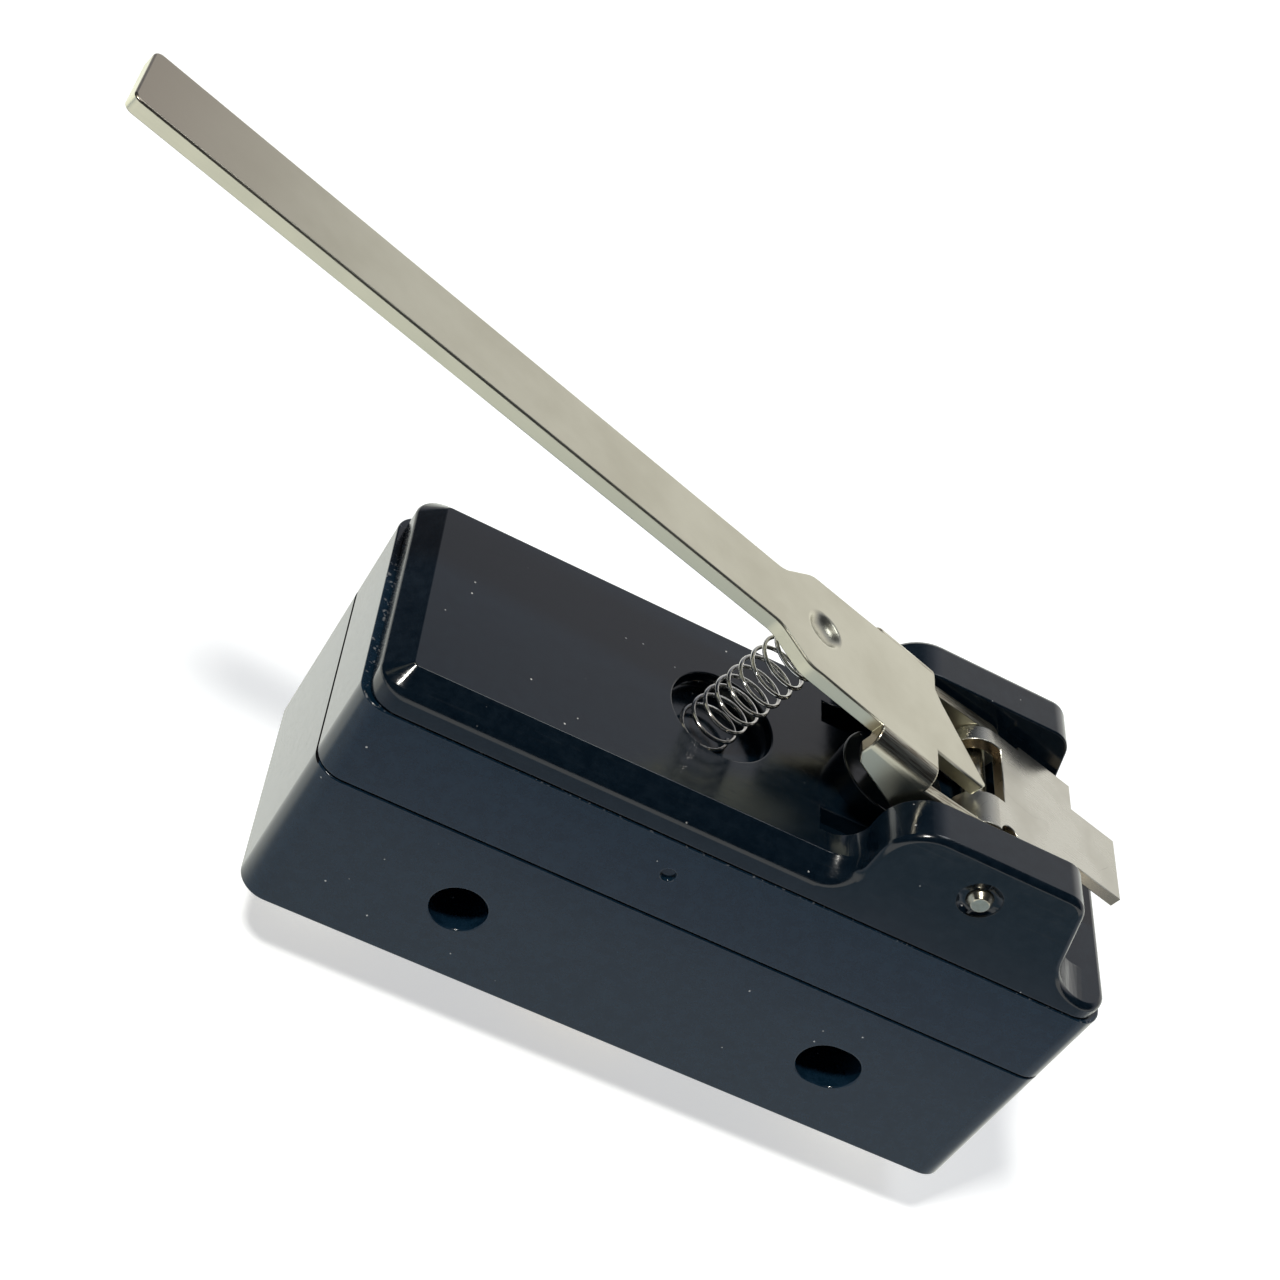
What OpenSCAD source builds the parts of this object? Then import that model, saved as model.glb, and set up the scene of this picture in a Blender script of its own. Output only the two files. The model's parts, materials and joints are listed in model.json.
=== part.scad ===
// Snap action switch with a long hinged lever over a plunger.
// Millimetres, +Z up, X along the case, Y across it.
// Zero lies on the axis of the round fixing hole, at mid width.

/* [Case] */
// Length of the case
body_l = 49.2; // [48.6:0.1:51]
// Width of the case
body_w = 17.5; // [17.2:0.1:19]
// Height of the base
base_h = 11.2; // [11:0.1:12.5]
// Height of the cover
cover_h = 6.1; // [6:0.1:7.5]
// Radius of the upright corners
corner_r = 1.8; // [1.2:0.1:2.2]
// Thickness of the long walls
wall_t = 2.35; // [2.2:0.05:2.6]
// Thickness of the end walls
end_t = 2.4; // [2.2:0.05:2.6]
// Thickness of the cover roof
roof_t = 1.7; // [1.4:0.1:2]
// Depth of the groove at each seam
seam_d = 0.15; // [0.05:0.01:0.2]
// Height of the groove at each seam
seam_h = 0.12; // [0.06:0.01:0.2]
// Diameter of the small mark on the cover side
mark_d = 0.9; // [0.6:0.1:1.2]

/* [Fixing holes] */
// Distance between the two fixing holes
hole_pitch = 25.4; // [25.2:0.1:25.6]
// Diameter of the round hole
hole_d = 3.53; // [3.3:0.01:3.7]
// Extra length of the oval hole
oval_extra = 0.6; // [0.3:0.05:0.9]
// Height of the holes above the case bottom
hole_z = 5.6; // [5.3:0.1:5.7]

/* [Lever housing] */
// How far the housing ends stand in from the case ends
house_in = 0.45; // [0.2:0.05:0.8]
// Height of the upright band below the bevel
band_h = 1.62; // [1.4:0.02:1.9]
// Run of the bevel across the case
bevel_run = 1.5; // [1.2:0.05:1.8]
// Rise of the bevel
bevel_rise = 1.12; // [0.9:0.02:1.3]
// Thickness of each ear
ear_t = 3.15; // [2.9:0.05:3.25]
// Height of the ears above the hinge axis
ear_over = 2.91; // [2.6:0.05:3.2]
// Reach of the ears in front of the hinge axis
ear_fore = 6.85; // [6.5:0.05:7.2]
// Reach of the ear tops behind the hinge axis
ear_aft = 5.56; // [5.2:0.02:5.8]
// Lean of the ear backs
ear_lean = 17.5; // [15:0.5:20]
// Radius at the front top of the ears
ear_nose_r = 3; // [2.4:0.1:3.1]
// Radius at the back top of the ears
ear_heel_r = 1.6; // [1.2:0.1:2]
// Radius where the ears rise from the bevel
ear_root_r = 1.8; // [1.4:0.1:2]
// Radius where the ears run out into the end foot
foot_r = 3.3; // [3:0.1:3.5]
// Thickness of the end foot
foot_h = 1.24; // [1.1:0.02:1.4]

/* [Hinge] */
// Distance of the hinge axis from the case end
pin_in = 12.25; // [12:0.05:12.5]
// Height of the hinge axis above the plateau
pin_rise = 2.56; // [2.4:0.02:2.8]
// Diameter of the hinge pin
pin_d = 1.56; // [1.4:0.02:1.6]
// How far the pin ends stand out of the ears
pin_out = 0.4; // [0.3:0.05:0.6]
// Running clearance round the pin
pin_play = 0.04; // [0.02:0.01:0.06]
// Diameter of the sunk ring round each pin end
ring_d = 2.7; // [2.4:0.1:3]

/* [Lever] */
// Angle of the lever at rest
lever_rest = 14.88; // [14:0.02:15.5]
// Length of the lever from the hinge axis
lever_l = 63.5; // [50:0.5:75]
// Width of the lever strip
lever_w = 4.96; // [4.6:0.02:5.4]
// Thickness of the lever sheet
lever_t = 0.94; // [0.86:0.02:1]
// Height of the lever top over the hinge axis
lever_rise = 2.38; // [2.3:0.02:2.5]
// Clearance between the cheeks and the ears
cheek_gap = 0.38; // [0.3:0.02:0.5]
// Inside radius of the yoke bends
bend_r = 0.2; // [0.14:0.02:0.3]
// Radius of the cheeks round the pin
hub_r = 1.75; // [1.6:0.05:1.9]
// Distance from the hinge axis to the back of the web
web_end = 5.9; // [5.6:0.05:6.1]
// Distance from the hinge axis to the front of the cheeks
cheek_end = 10.6; // [10.2:0.05:11]
// Distance from the hinge axis to the widened neck
neck_u = 16.5; // [16.2:0.05:16.8]
// Length of the widening
neck_l = 2.3; // [1.8:0.1:2.8]
// Radius at both ends of the widening
neck_r = 1.5; // [1.2:0.1:1.8]
// Rounding of the lever tip corners
tip_r = 0.5; // [0.3:0.05:0.9]

/* [Tail leaf] */
// Slope of the tail leaf
tail_rest = 13; // [12:0.5:14]
// Thickness of the tail leaf
tail_t = 0.78; // [0.7:0.02:0.8]
// Length of the tail leaf behind the hinge axis
tail_l = 10.65; // [10:0.05:11]
// Length of its wide part
tail_wide_l = 6.8; // [6.2:0.05:7.2]
// Width of its wide part
tail_wide_w = 9.2; // [8.8:0.05:9.4]
// Width of its narrow end
tail_w = 5.1; // [4.6:0.05:5.4]
// Distance of the window's front edge from mid width
tail_front = 1.6; // [1.4:0.05:1.8]
// Distance of the window's back edge from mid width
tail_back = 3; // [2.8:0.05:3.2]

/* [Return spring] */
// Outside diameter of the coil
coil_d = 3.5; // [3.3:0.05:3.8]
// Diameter of the wire
wire_d = 0.26; // [0.22:0.02:0.32]
// Number of turns
coil_n = 10; // [8:0.5:12]
// Distance from the hinge axis to the spring seat on the lever
seat_u = 15.4; // [15.1:0.05:15.6]
// Diameter of the round spring pocket
pocket_d = 6.8; // [6.2:0.1:7.2]
// Depth of the round spring pocket
pocket_h = 1.6; // [1.2:0.1:1.8]
// How far the spring foot stands forward of its top
coil_skew = 1.9; // [1.5:0.1:2.2]

/* [Plunger] */
// Distance from the hinge axis to the plunger axis
plunger_arm = 4.95; // [4.8:0.05:5.1]
// Diameter of the plunger stem
stem_d = 2.6; // [2.4:0.05:2.8]
// Running clearance round the stem
stem_play = 0.05; // [0.03:0.01:0.08]
// Diameter of the plunger foot
foot_d = 5.6; // [5.2:0.1:6]
// Diameter of the round boss that guides the stem
guide_d = 7; // [6.6:0.1:7.4]
// Height of the boss above the plateau
guide_h = 1.46; // [1.2:0.02:1.6]
// Free travel before the plunger meets the blade
free_travel = 0.28; // [0.26:0.01:0.34]

/* [Contacts] */
// Thickness of the blade
blade_t = 0.3; // [0.25:0.01:0.35]
// Width of the blade
blade_w = 7; // [6.6:0.1:7.4]
// Distance of the contacts from the case end
contact_in = 9.4; // [9.2:0.1:9.8]
// Diameter of the contacts
contact_d = 3.2; // [2.8:0.1:3.4]
// Travel of the moving contact
contact_gap = 0.7; // [0.68:0.01:0.7]
// Sag of the bowed tongue
bow_sag = 1.3; // [1:0.1:1.4]

/* [Terminals] */
// Distance of the common terminal from the case end
common_in = 5.4; // [5.2:0.1:5.6]
// Distance of the normally closed terminal from the case end
closed_in = 4.6; // [4.4:0.1:4.8]
// Place of the normally open terminal along the case, from its middle
open_x = -0.35; // [-0.6:0.05:0]
// Width of the square terminal plates
plate_w = 7.4; // [7:0.1:7.6]
// Thickness of the terminal plates
plate_t = 0.8; // [0.7:0.05:1]
// Diameter of the terminal stems
post_d = 5.2; // [4.8:0.1:5.4]
// Diameter of the screw threads
screw_d = 3.4; // [3:0.1:3.6]
// Diameter of the screw heads
head_d = 6.4; // [6:0.1:6.6]
// Height of the screw heads
head_h = 1.7; // [1.4:0.1:2]
// Diameter of the cup washers
washer_d = 7.2; // [6.9:0.1:7.4]
// Height of the cup washers
washer_h = 1.2; // [1:0.1:1.5]
// Height of the boss below the case
boss_h = 2; // [1.6:0.1:2.4]
// Length of the boss below the case
boss_l = 14.6; // [14:0.1:15.5]
// Width of the boss below the case
boss_w = 13.4; // [12.5:0.1:14]

/* [Hidden] */
$fn = 64;
// Small fit between parts that stay put
fit = 0.05;
// Length that makes a cut pass clear of a face
over = 1;
// Heights of the layers
house_z = base_h + cover_h;
band_z = house_z + band_h;
plateau_z = band_z + bevel_rise;
foot_z = house_z + foot_h;
// Inside of the case
cav_l = body_l - 2 * end_t;
cav_w = body_w - 2 * wall_t;
cav_r = 3;
cav_deep = 3;
cav_z = base_h - cav_deep;
roof_z = house_z - roof_t;
// Corner rivets that hold the layers together
rivet_d = 1.2;
rivet_head_d = 2.4;
rivet_head_h = 0.8;
rivet_sink = 0.2;
rivet_set = 0.2;
rivet_cap = 0.55;
rivet_x = cav_l / 2 - rivet_set;
rivet_y = cav_w / 2 - rivet_set;
rivet_top = foot_z - rivet_cap;
// Small mark on the cover side
mark_x = -3.7;
mark_up = 3.55;
mark_z = base_h + mark_up;
mark_h = 0.25;
// Hinge and ears
pin_x = body_l / 2 - pin_in;
pin_z = plateau_z + pin_rise;
pin_r = pin_d / 2;
pin_cone = 0.24;
pin_end_r = pin_r - pin_cone;
ring_h = 0.12;
ear_in = body_w / 2 - ear_t;
ear_top = pin_z + ear_over;
ear_x0 = pin_x - ear_fore;
ear_x1 = pin_x + ear_aft;
house_l = body_l - 2 * house_in;
house_x = house_l / 2;
lean_n = [cos(ear_lean), sin(ear_lean)];
lean_c = lean_n * [ear_x1, ear_top];
foot_cz = foot_z + foot_r;
foot_cx = (lean_c + foot_r - lean_n[1] * foot_cz) / lean_n[0];
foot_c = [foot_cx, foot_cz];
foot_t = foot_c - foot_r * lean_n;
foot_corner = [ear_x1 + (ear_top - foot_z) * tan(ear_lean), foot_z];
heel_cz = ear_top - ear_heel_r;
heel_cx = (lean_c - ear_heel_r - lean_n[1] * heel_cz) / lean_n[0];
heel_c = [heel_cx, heel_cz];
heel_t = heel_c + ear_heel_r * lean_n;
bevel_a = atan2(bevel_rise, bevel_run);
bevel_tip_r = corner_r - bevel_run;
floor_back = 0.3;
floor_x = ear_x1 + (ear_top - plateau_z) * tan(ear_lean) - floor_back;
floor_foot = floor_x + (plateau_z - foot_z) * tan(ear_lean);
// Lever, in its own frame about the hinge axis
web_low = lever_rise - lever_t;
bend_out = bend_r + lever_t;
yoke_h = ear_in - cheek_gap - bend_out;
bend_v = lever_rise - bend_out;
cheek_in = yoke_h + bend_r;
cheek_out = yoke_h + bend_out;
toe_drop = 0.6;
chin_back = 0.5;
chin_drop = 1.2;
heel_fore = 0.15;
heel_drop = 1.1;
cheek_toe = [-cheek_end, bend_v - toe_drop];
cheek_chin = [-cheek_end + chin_back, bend_v - chin_drop];
cheek_heel = [-web_end - heel_fore, -heel_drop];
cheek_top = [-web_end, bend_v];
hub_bite = 0.03;
neck_a = [-neck_u - neck_l, lever_w / 2];
neck_b = [-neck_u, yoke_h];
neck_d = (neck_b - neck_a) / norm(neck_b - neck_a);
neck_t = neck_r * tan(atan2(neck_d[1], neck_d[0]) / 2);
tongue_tip = 1.85;
tongue_y = 2.6;
tongue_root = 2.9;
tongue_nip = 0.25;
tongue_step = 0.55;
tongue_rake = 1.6;
dimple_d = 2.5;
dimple_h = 0.6;
dimple_sink = 0.4;
dimple_floor_d = 1.5;
dimple_flare_d = 2 * dimple_d - dimple_floor_d;
// Flange pockets in the plateau
slot_fore = 2.24;
slot_aft = 0.5;
slot_side = 0.48;
slot_x0 = ear_x0 - slot_fore;
slot_x1 = pin_x + hub_r + slot_aft;
slot_y0 = cheek_in - slot_side;
slot_h = 1.14;
// Tail leaf, in its own frame about the hinge axis
roll_play = 0.4;
roll_in = pin_r + roll_play;
roll_out = roll_in + tail_t;
roll_gap = 0.05;
roll_y1 = cheek_in - roll_gap;
roll_ends = [[-roll_y1, -tail_front], [tail_back, roll_y1]];
tail_clear = 0.4;
tail_step = hub_r + tail_clear;
tail_root = 0.5;
notch_u = 0.8;
notch_r = 0.7;
roll_open = 60;
// Spring seat on the lever and its foot in the pocket
coil_r = (coil_d - wire_d) / 2;
seat_x = pin_x - seat_u * cos(lever_rest) + web_low * sin(lever_rest);
seat_z = pin_z + seat_u * sin(lever_rest) + web_low * cos(lever_rest);
spring_x = seat_x - coil_skew;
pocket_aft = 0.48;
spring_z = plateau_z - pocket_h;
coil_lift = wire_d / 2 + fit;
coil_drop = (wire_d / 2 + fit) / cos(lever_rest);
coil_low = spring_z + coil_lift;
coil_high = seat_z - coil_drop;
coil_seg = 16;
coil_sides = 8;
coil_steps = coil_n * coil_seg;
// Plunger
plunger_x = pin_x - plunger_arm;
stem_r = stem_d / 2;
dome_r = 2;
dome_gap = 0.05;
under_z = pin_z + plunger_arm * tan(lever_rest) + web_low / cos(lever_rest);
stem_top = under_z + dome_r - (dome_r + dome_gap) / cos(lever_rest);
shoulder = dome_r - sqrt(dome_r * dome_r - stem_r * stem_r);
collar_gap = 0.1;
guide_z = plateau_z + guide_h;
// Blade, fulcrum and contacts
contact_x = body_l / 2 - contact_in;
pad_set = 0.2;
pad_l = 5.7;
pad_h = 2.2;
pad_w = 6.4;
pad_x0 = -cav_l / 2 + pad_set;
pad_x1 = pad_x0 + pad_l;
pad_z = cav_z + pad_h;
fulcrum_r = 0.5;
fulcrum_in = 0.7;
fulcrum_x = pad_x1 - fulcrum_in;
blade_z = pad_z + fulcrum_r;
blade_top = blade_z + blade_t;
blade_set = 1;
blade_end = 2;
blade_x0 = pad_x0 + blade_set;
blade_x1 = contact_x + blade_end;
win_end = 2.8;
win_x0 = -6.2;
win_x1 = contact_x - win_end;
win_w = 3;
bow_w = 2.2;
bow_x0 = -3.7;
bow_mid = (bow_x0 + win_x1) / 2;
bow_half = (win_x1 - bow_x0) / 2;
bow_r = (bow_half * bow_half + bow_sag * bow_sag) / (2 * bow_sag);
bow_z = blade_z + blade_t / 2 + bow_r - bow_sag;
touch = 0.05;
contact_h = 0.6;
contact_neck = 1.4;
still_h = 0.8;
strip_t = 0.6;
strip_w = 4.4;
move_low = blade_z - contact_h;
move_high = blade_top + contact_h;
open_top = move_low - contact_gap - touch;
open_strip = open_top - still_h;
closed_low = move_high + touch;
closed_arm = closed_low + still_h;
blade_rivet_in = 1.8;
blade_rivet_x = blade_x0 + blade_rivet_in;
blade_rivet_d = 1.6;
blade_rivet_head = 3;
blade_rivet_gap = 0.15;
blade_rivet_h = 0.5;
blade_rivet_deep = 1.2;
blade_hole_play = 0.15;
blade_hole_d = blade_rivet_d + 2 * blade_hole_play;
anvil_x0 = -5.7;
anvil_x1 = -4.2;
anvil_w = 2.4;
anvil_over = 0.7;
groove_h = 1.2;
groove_d = 0.5;
// Terminals
common_x = -body_l / 2 + common_in;
closed_x = body_l / 2 - closed_in;
post_r = post_d / 2;
screw_r = screw_d / 2;
thread_play = 0.05;
screw_in = 5;
leg_t = 0.6;
leg_set = 0.5;
leg_x1 = cav_l / 2 - leg_set;
head_slot_w = 0.9;
head_slot_h = 0.8;
cup_t = 0.5;
cup_wall = 0.5;
boss_r = 3;
plate_r = 0.6;
terminal_places = [[common_x, 0], [open_x, -boss_h], [closed_x, 0]];
// Colours
phenolic = [0.17, 0.18, 0.19];
steel = [0.68, 0.67, 0.64];
wire = [0.82, 0.82, 0.82];
brass = [0.76, 0.61, 0.32];
copper = [0.72, 0.45, 0.3];
silver = [0.86, 0.86, 0.84];

// Shifts the case, drawn about its middle and bottom, to the fixing hole
module at_hole() {
    translate([hole_pitch / 2, 0, -hole_z])
        children();
}

// Carries a piece drawn about the hinge axis to its place at rest
module at_hinge(angle) {
    translate([pin_x, 0, pin_z])
        rotate([0, angle, 0])
            children();
}

// Sweeps an upright outline across the case from y0 to y1
module across(y0, y1) {
    translate([0, y1, 0])
        rotate([90, 0, 0])
            linear_extrude(y1 - y0)
                children();
}

// Rectangle with round corners about the middle
module rounded(l, w, r) {
    square([l - 2 * r, w], center = true);
    square([l, w - 2 * r], center = true);
    for (sx = [-1, 1], sy = [-1, 1])
        translate([sx * (l / 2 - r), sy * (w / 2 - r)])
            circle(r);
}

// Upright block with round corners standing on z0
module block(l, w, r, z0, z1) {
    translate([0, 0, z0])
        linear_extrude(z1 - z0)
            rounded(l, w, r);
}

// Upright round bar standing on z0
module bar(x, y, d, z0, z1) {
    translate([x, y, z0])
        cylinder(d = d, h = z1 - z0);
}

// Flat box from its two corners along X and Z, centred across
module plank(x0, x1, w, z0, z1) {
    translate([x0, -w / 2, z0])
        cube([x1 - x0, w, z1 - z0]);
}

// Groove all round a block where it meets the layer below
module seam(l, z) {
    difference() {
        block(l + 2 * over, body_w + 2 * over, corner_r, z - over, z + seam_h);
        block(l - 2 * seam_d, body_w - 2 * seam_d, corner_r - seam_d, z - 2 * over, z + seam_h + over);
    }
}

// Corner rivet holes through a layer
module rivet_holes(z0, z1) {
    for (sx = [-1, 1], sy = [-1, 1])
        bar(sx * rivet_x, sy * rivet_y, rivet_d + 2 * fit, z0, z1);
}

// Moulded base with the terminals set in it
module base_case() {
    color(phenolic)
        at_hole()
            difference() {
                union() {
                    block(body_l, body_w, corner_r, 0, base_h);
                    translate([open_x, 0, 0])
                        block(boss_l, boss_w, boss_r, -boss_h, over);
                }
                block(cav_l, cav_w, cav_r, cav_z, base_h + over);
                for (sx = [-1, 1])
                    translate([sx * hole_pitch / 2, 0, hole_z])
                        across(-body_w, body_w)
                            fixing_outline(sx > 0 ? oval_extra : 0);
                for (p = terminal_places) {
                    bar(p[0], 0, post_d + 2 * fit, p[1], cav_z + over);
                    translate([p[0], 0, 0])
                        block(plate_w + 2 * fit, plate_w + 2 * fit, plate_r, p[1] - over, p[1] + plate_t);
                }
                rivet_holes(-over, base_h + over);
                for (sx = [-1, 1], sy = [-1, 1])
                    bar(sx * rivet_x, sy * rivet_y, rivet_head_d + 2 * fit, -over,
                        rivet_sink + rivet_head_h);
            }
}

// Outline of a fixing hole, longer along the case by the given length
module fixing_outline(extra) {
    for (s = [-1, 1])
        translate([s * extra / 2, 0])
            circle(d = hole_d);
    if (extra > 0)
        square([extra, hole_d], center = true);
}

// Moulded cover that closes the contact space and guides the plunger
module case_cover() {
    color(phenolic)
        at_hole()
            difference() {
                block(body_l, body_w, corner_r, base_h, house_z);
                block(cav_l, cav_w, cav_r, base_h - over, roof_z);
                bar(plunger_x, 0, stem_d + 2 * stem_play, base_h, house_z + over);
                rivet_holes(base_h - over, house_z + over);
                seam(body_l, base_h);
                translate([mark_x, 0, mark_z])
                    across(-body_w / 2 - over, -body_w / 2 + mark_h)
                        circle(d = mark_d);
            }
}

// Corner between a straight edge and another one, filled out to a circle
module filled_corner(points, c, r) {
    difference() {
        polygon(points);
        translate(c)
            circle(r);
    }
}

// Side view of the housing with its ears
module ear_outline() {
    difference() {
        union() {
            polygon([
                [-house_x, house_z],
                [-house_x, band_z],
                [-house_x + bevel_run, plateau_z],
                [ear_x0, plateau_z],
                [ear_x0, ear_top],
                [ear_x1, ear_top],
                foot_corner,
                [house_x, foot_z],
                [house_x, house_z]]);
            filled_corner([foot_t, foot_corner, [foot_cx, foot_z]], foot_c, foot_r);
            filled_corner([
                [ear_x0 - ear_root_r, plateau_z],
                [ear_x0, plateau_z],
                [ear_x0, plateau_z + ear_root_r]],
                [ear_x0 - ear_root_r, plateau_z + ear_root_r], ear_root_r);
        }
        filled_corner([
            [ear_x0, ear_top - ear_nose_r],
            [ear_x0, ear_top],
            [ear_x0 + ear_nose_r, ear_top]],
            [ear_x0 + ear_nose_r, ear_top - ear_nose_r], ear_nose_r);
        filled_corner([[heel_cx, ear_top], [ear_x1, ear_top], heel_t], heel_c, ear_heel_r);
    }
}

// Side view of the housing between the ears
module floor_outline() {
    polygon([
        [-house_x, house_z],
        [-house_x, band_z],
        [-house_x + bevel_run, plateau_z],
        [floor_x, plateau_z],
        [floor_foot, foot_z],
        [house_x, foot_z],
        [house_x, house_z]]);
}

// Outline of the cut that leaves the long bevel and sweeps up into the ear
module bevel_outline() {
    difference() {
        translate([-body_l, 0])
            square([body_l + ear_x0, ear_top - band_z]);
        filled_corner([[ear_x0 - ear_root_r, 0], [ear_x0, 0], [ear_x0, ear_root_r]],
            [ear_x0 - ear_root_r, ear_root_r], ear_root_r);
    }
}

// Cut that carries the bevel round an upright corner as a cone
module corner_bevel() {
    translate([-house_x + corner_r, -body_w / 2 + corner_r, band_z])
        difference() {
            translate([-2 * corner_r, -2 * corner_r, 0])
                cube([2 * corner_r, 2 * corner_r, bevel_rise + over]);
            cylinder(r1 = corner_r, r2 = bevel_tip_r, h = bevel_rise);
        }
}

// Moulded housing with two ears, the bevelled plateau and its pockets
module lever_housing() {
    color(phenolic)
        at_hole()
            difference() {
                union() {
                    intersection() {
                        block(house_l, body_w, corner_r, house_z, ear_top + over);
                        union() {
                            across(-body_w / 2, body_w / 2)
                                floor_outline();
                            for (s = [0, 1])
                                mirror([0, s, 0])
                                    across(-body_w / 2, -ear_in)
                                        ear_outline();
                        }
                    }
                    bar(plunger_x, 0, guide_d, house_z + over, guide_z);
                }
                for (s = [0, 1])
                    mirror([0, s, 0]) {
                        translate([0, -body_w / 2, band_z])
                            rotate([bevel_a, 0, 0])
                                across(-2 * bevel_run, 2 * bevel_run)
                                    bevel_outline();
                        corner_bevel();
                        translate([slot_x0, slot_y0, plateau_z - slot_h])
                            cube([slot_x1 - slot_x0, ear_in - slot_y0, slot_h + over]);
                        translate([pin_x, 0, pin_z])
                            across(-body_w / 2 - over, -body_w / 2 + ring_h)
                                circle(d = ring_d);
                    }
                translate([pin_x, 0, pin_z])
                    across(-body_w, body_w)
                        circle(pin_r + fit / 2);
                bar(spring_x + pocket_aft, 0, pocket_d, spring_z, plateau_z + over);
                bar(plunger_x, 0, stem_d + 2 * stem_play, house_z - over, guide_z + over);
                rivet_holes(house_z - over, rivet_top + fit);
                seam(house_l, house_z);
            }
}

// Four rivets driven up through the corners of the layers
module case_rivets() {
    color(steel)
        at_hole()
            for (sx = [-1, 1], sy = [-1, 1])
                translate([sx * rivet_x, sy * rivet_y, 0]) {
                    bar(0, 0, rivet_d, rivet_sink, rivet_top);
                    bar(0, 0, rivet_head_d, rivet_sink, rivet_sink + rivet_head_h - fit / 2);
                }
}

// Hinge pin through both ears, with blunt cone ends
module hinge_pin() {
    color(steel)
        at_hole()
            translate([pin_x, 0, pin_z])
                for (s = [0, 1])
                    mirror([0, s, 0])
                        rotate([90, 0, 0]) {
                            cylinder(r = pin_r, h = body_w / 2);
                            translate([0, 0, body_w / 2])
                                cylinder(r1 = pin_r, r2 = pin_end_r, h = pin_out);
                        }
}

// Point where a line from p touches a circle about the hinge axis
function touch_point(p, r, s) =
    let (a = atan2(p[1], p[0]) + s * acos(r / norm(p)))
    [r * cos(a), r * sin(a)];

// One half of the smooth widening between strip and yoke
module neck_half() {
    difference() {
        union() {
            polygon([
                [neck_a[0], 0],
                neck_a,
                neck_b,
                neck_b + [neck_t, 0],
                [neck_b[0] + neck_t, 0]]);
            filled_corner([neck_a - [neck_t, 0], neck_a, neck_a + neck_t * neck_d],
                neck_a + [-neck_t, neck_r], neck_r);
        }
        filled_corner([neck_b - neck_t * neck_d, neck_b, neck_b + [neck_t, 0]],
            neck_b + [neck_t, -neck_r], neck_r);
    }
}

// Outline of the flat of the lever seen from above
module web_outline() {
    translate([-lever_l + tip_r, -lever_w / 2])
        square([lever_l - tip_r - neck_u, lever_w]);
    translate([-lever_l, -lever_w / 2 + tip_r])
        square([tip_r, lever_w - 2 * tip_r]);
    for (s = [-1, 1])
        translate([-lever_l + tip_r, s * (lever_w / 2 - tip_r)])
            circle(tip_r);
    neck_half();
    mirror([0, 1])
        neck_half();
    translate([-neck_u + neck_t, -yoke_h])
        square([neck_u - neck_t - web_end, 2 * yoke_h]);
    polygon([
        [-web_end - over, tongue_root],
        [-web_end, tongue_root],
        [-web_end + tongue_step, tongue_root - tongue_rake * tongue_step],
        [-tongue_tip, -tongue_y + tongue_step],
        [-tongue_tip, -tongue_y + tongue_nip],
        [-tongue_tip - tongue_nip, -tongue_y],
        [-web_end - over, -tongue_y]]);
}

// Side view of a cheek with the hub round the pin
module cheek_outline() {
    difference() {
        union() {
            polygon([
                [-cheek_end, bend_v],
                cheek_toe,
                cheek_chin,
                cheek_heel,
                touch_point(cheek_heel, hub_r - hub_bite, 1),
                [0, 0],
                touch_point(cheek_top, hub_r - hub_bite, -1),
                cheek_top]);
            circle(hub_r);
        }
        circle(pin_r + pin_play);
    }
}

// Bend between web and cheek, seen along the lever
module bend_outline() {
    intersection() {
        difference() {
            circle(bend_out);
            circle(bend_r);
        }
        square(bend_out);
    }
}

// Stamped lever with a yoke, two cheeks and a pressed spring seat
module lever() {
    color(steel)
        at_hole()
            at_hinge(lever_rest)
                difference() {
                    union() {
                        translate([0, 0, web_low])
                            linear_extrude(lever_t)
                                web_outline();
                        for (s = [0, 1])
                            mirror([0, s, 0]) {
                                across(cheek_in, cheek_out)
                                    cheek_outline();
                                translate([-cheek_end, yoke_h, bend_v])
                                    rotate([90, 0, 90])
                                        linear_extrude(cheek_end - web_end)
                                            bend_outline();
                            }
                        bar(-seat_u, 0, dimple_d, web_low - dimple_h, web_low + dimple_h / 2);
                    }
                    translate([-seat_u, 0, lever_rise - dimple_sink])
                        cylinder(d1 = dimple_floor_d, d2 = dimple_flare_d, h = 2 * dimple_sink);
                }
}

// Side view of a finger rolled round the pin
module roll_outline() {
    difference() {
        circle(roll_out);
        circle(roll_in);
        polygon([
            [0, 0],
            [0, roll_out * 2],
            [roll_out * 2, roll_out * 2],
            [roll_out * 2, -roll_out * 2 * cos(roll_open)],
            [roll_out * 2 * cos(roll_open), -roll_out * 2 * sin(roll_open)]]);
    }
}

// Outline of the tail leaf seen from above
module tail_outline() {
    difference() {
        union() {
            for (y = roll_ends)
                translate([-fit, y[0]])
                    square([tail_root + over, y[1] - y[0]]);
            translate([tail_root, -roll_y1])
                square([tail_step - tail_root + fit, 2 * roll_y1]);
            translate([tail_step, -tail_wide_w / 2])
                square([tail_wide_l - tail_step, tail_wide_w]);
            translate([tail_wide_l - fit, -tail_w / 2])
                square([tail_l - tail_wide_l + fit, tail_w]);
        }
        translate([notch_u, -roll_y1])
            circle(notch_r);
    }
}

// Stamped leaf behind the lever, rolled over the same pin by two fingers
module tail_leaf() {
    color(steel)
        at_hole()
            at_hinge(tail_rest) {
                translate([0, 0, roll_in])
                    linear_extrude(tail_t)
                        tail_outline();
                for (y = roll_ends)
                    across(y[0], y[1])
                        roll_outline();
            }
}

// Middle line of the coil, upright at its foot and square to the lever at its top
function coil_point(i) =
    let (t = i / coil_steps, a = 360 * i / coil_seg)
    [spring_x + coil_skew * t + coil_r * cos(a),
        coil_r * sin(a),
        coil_low + (coil_high - coil_low) * t - coil_r * cos(a) * tan(lever_rest) * t];

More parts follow.
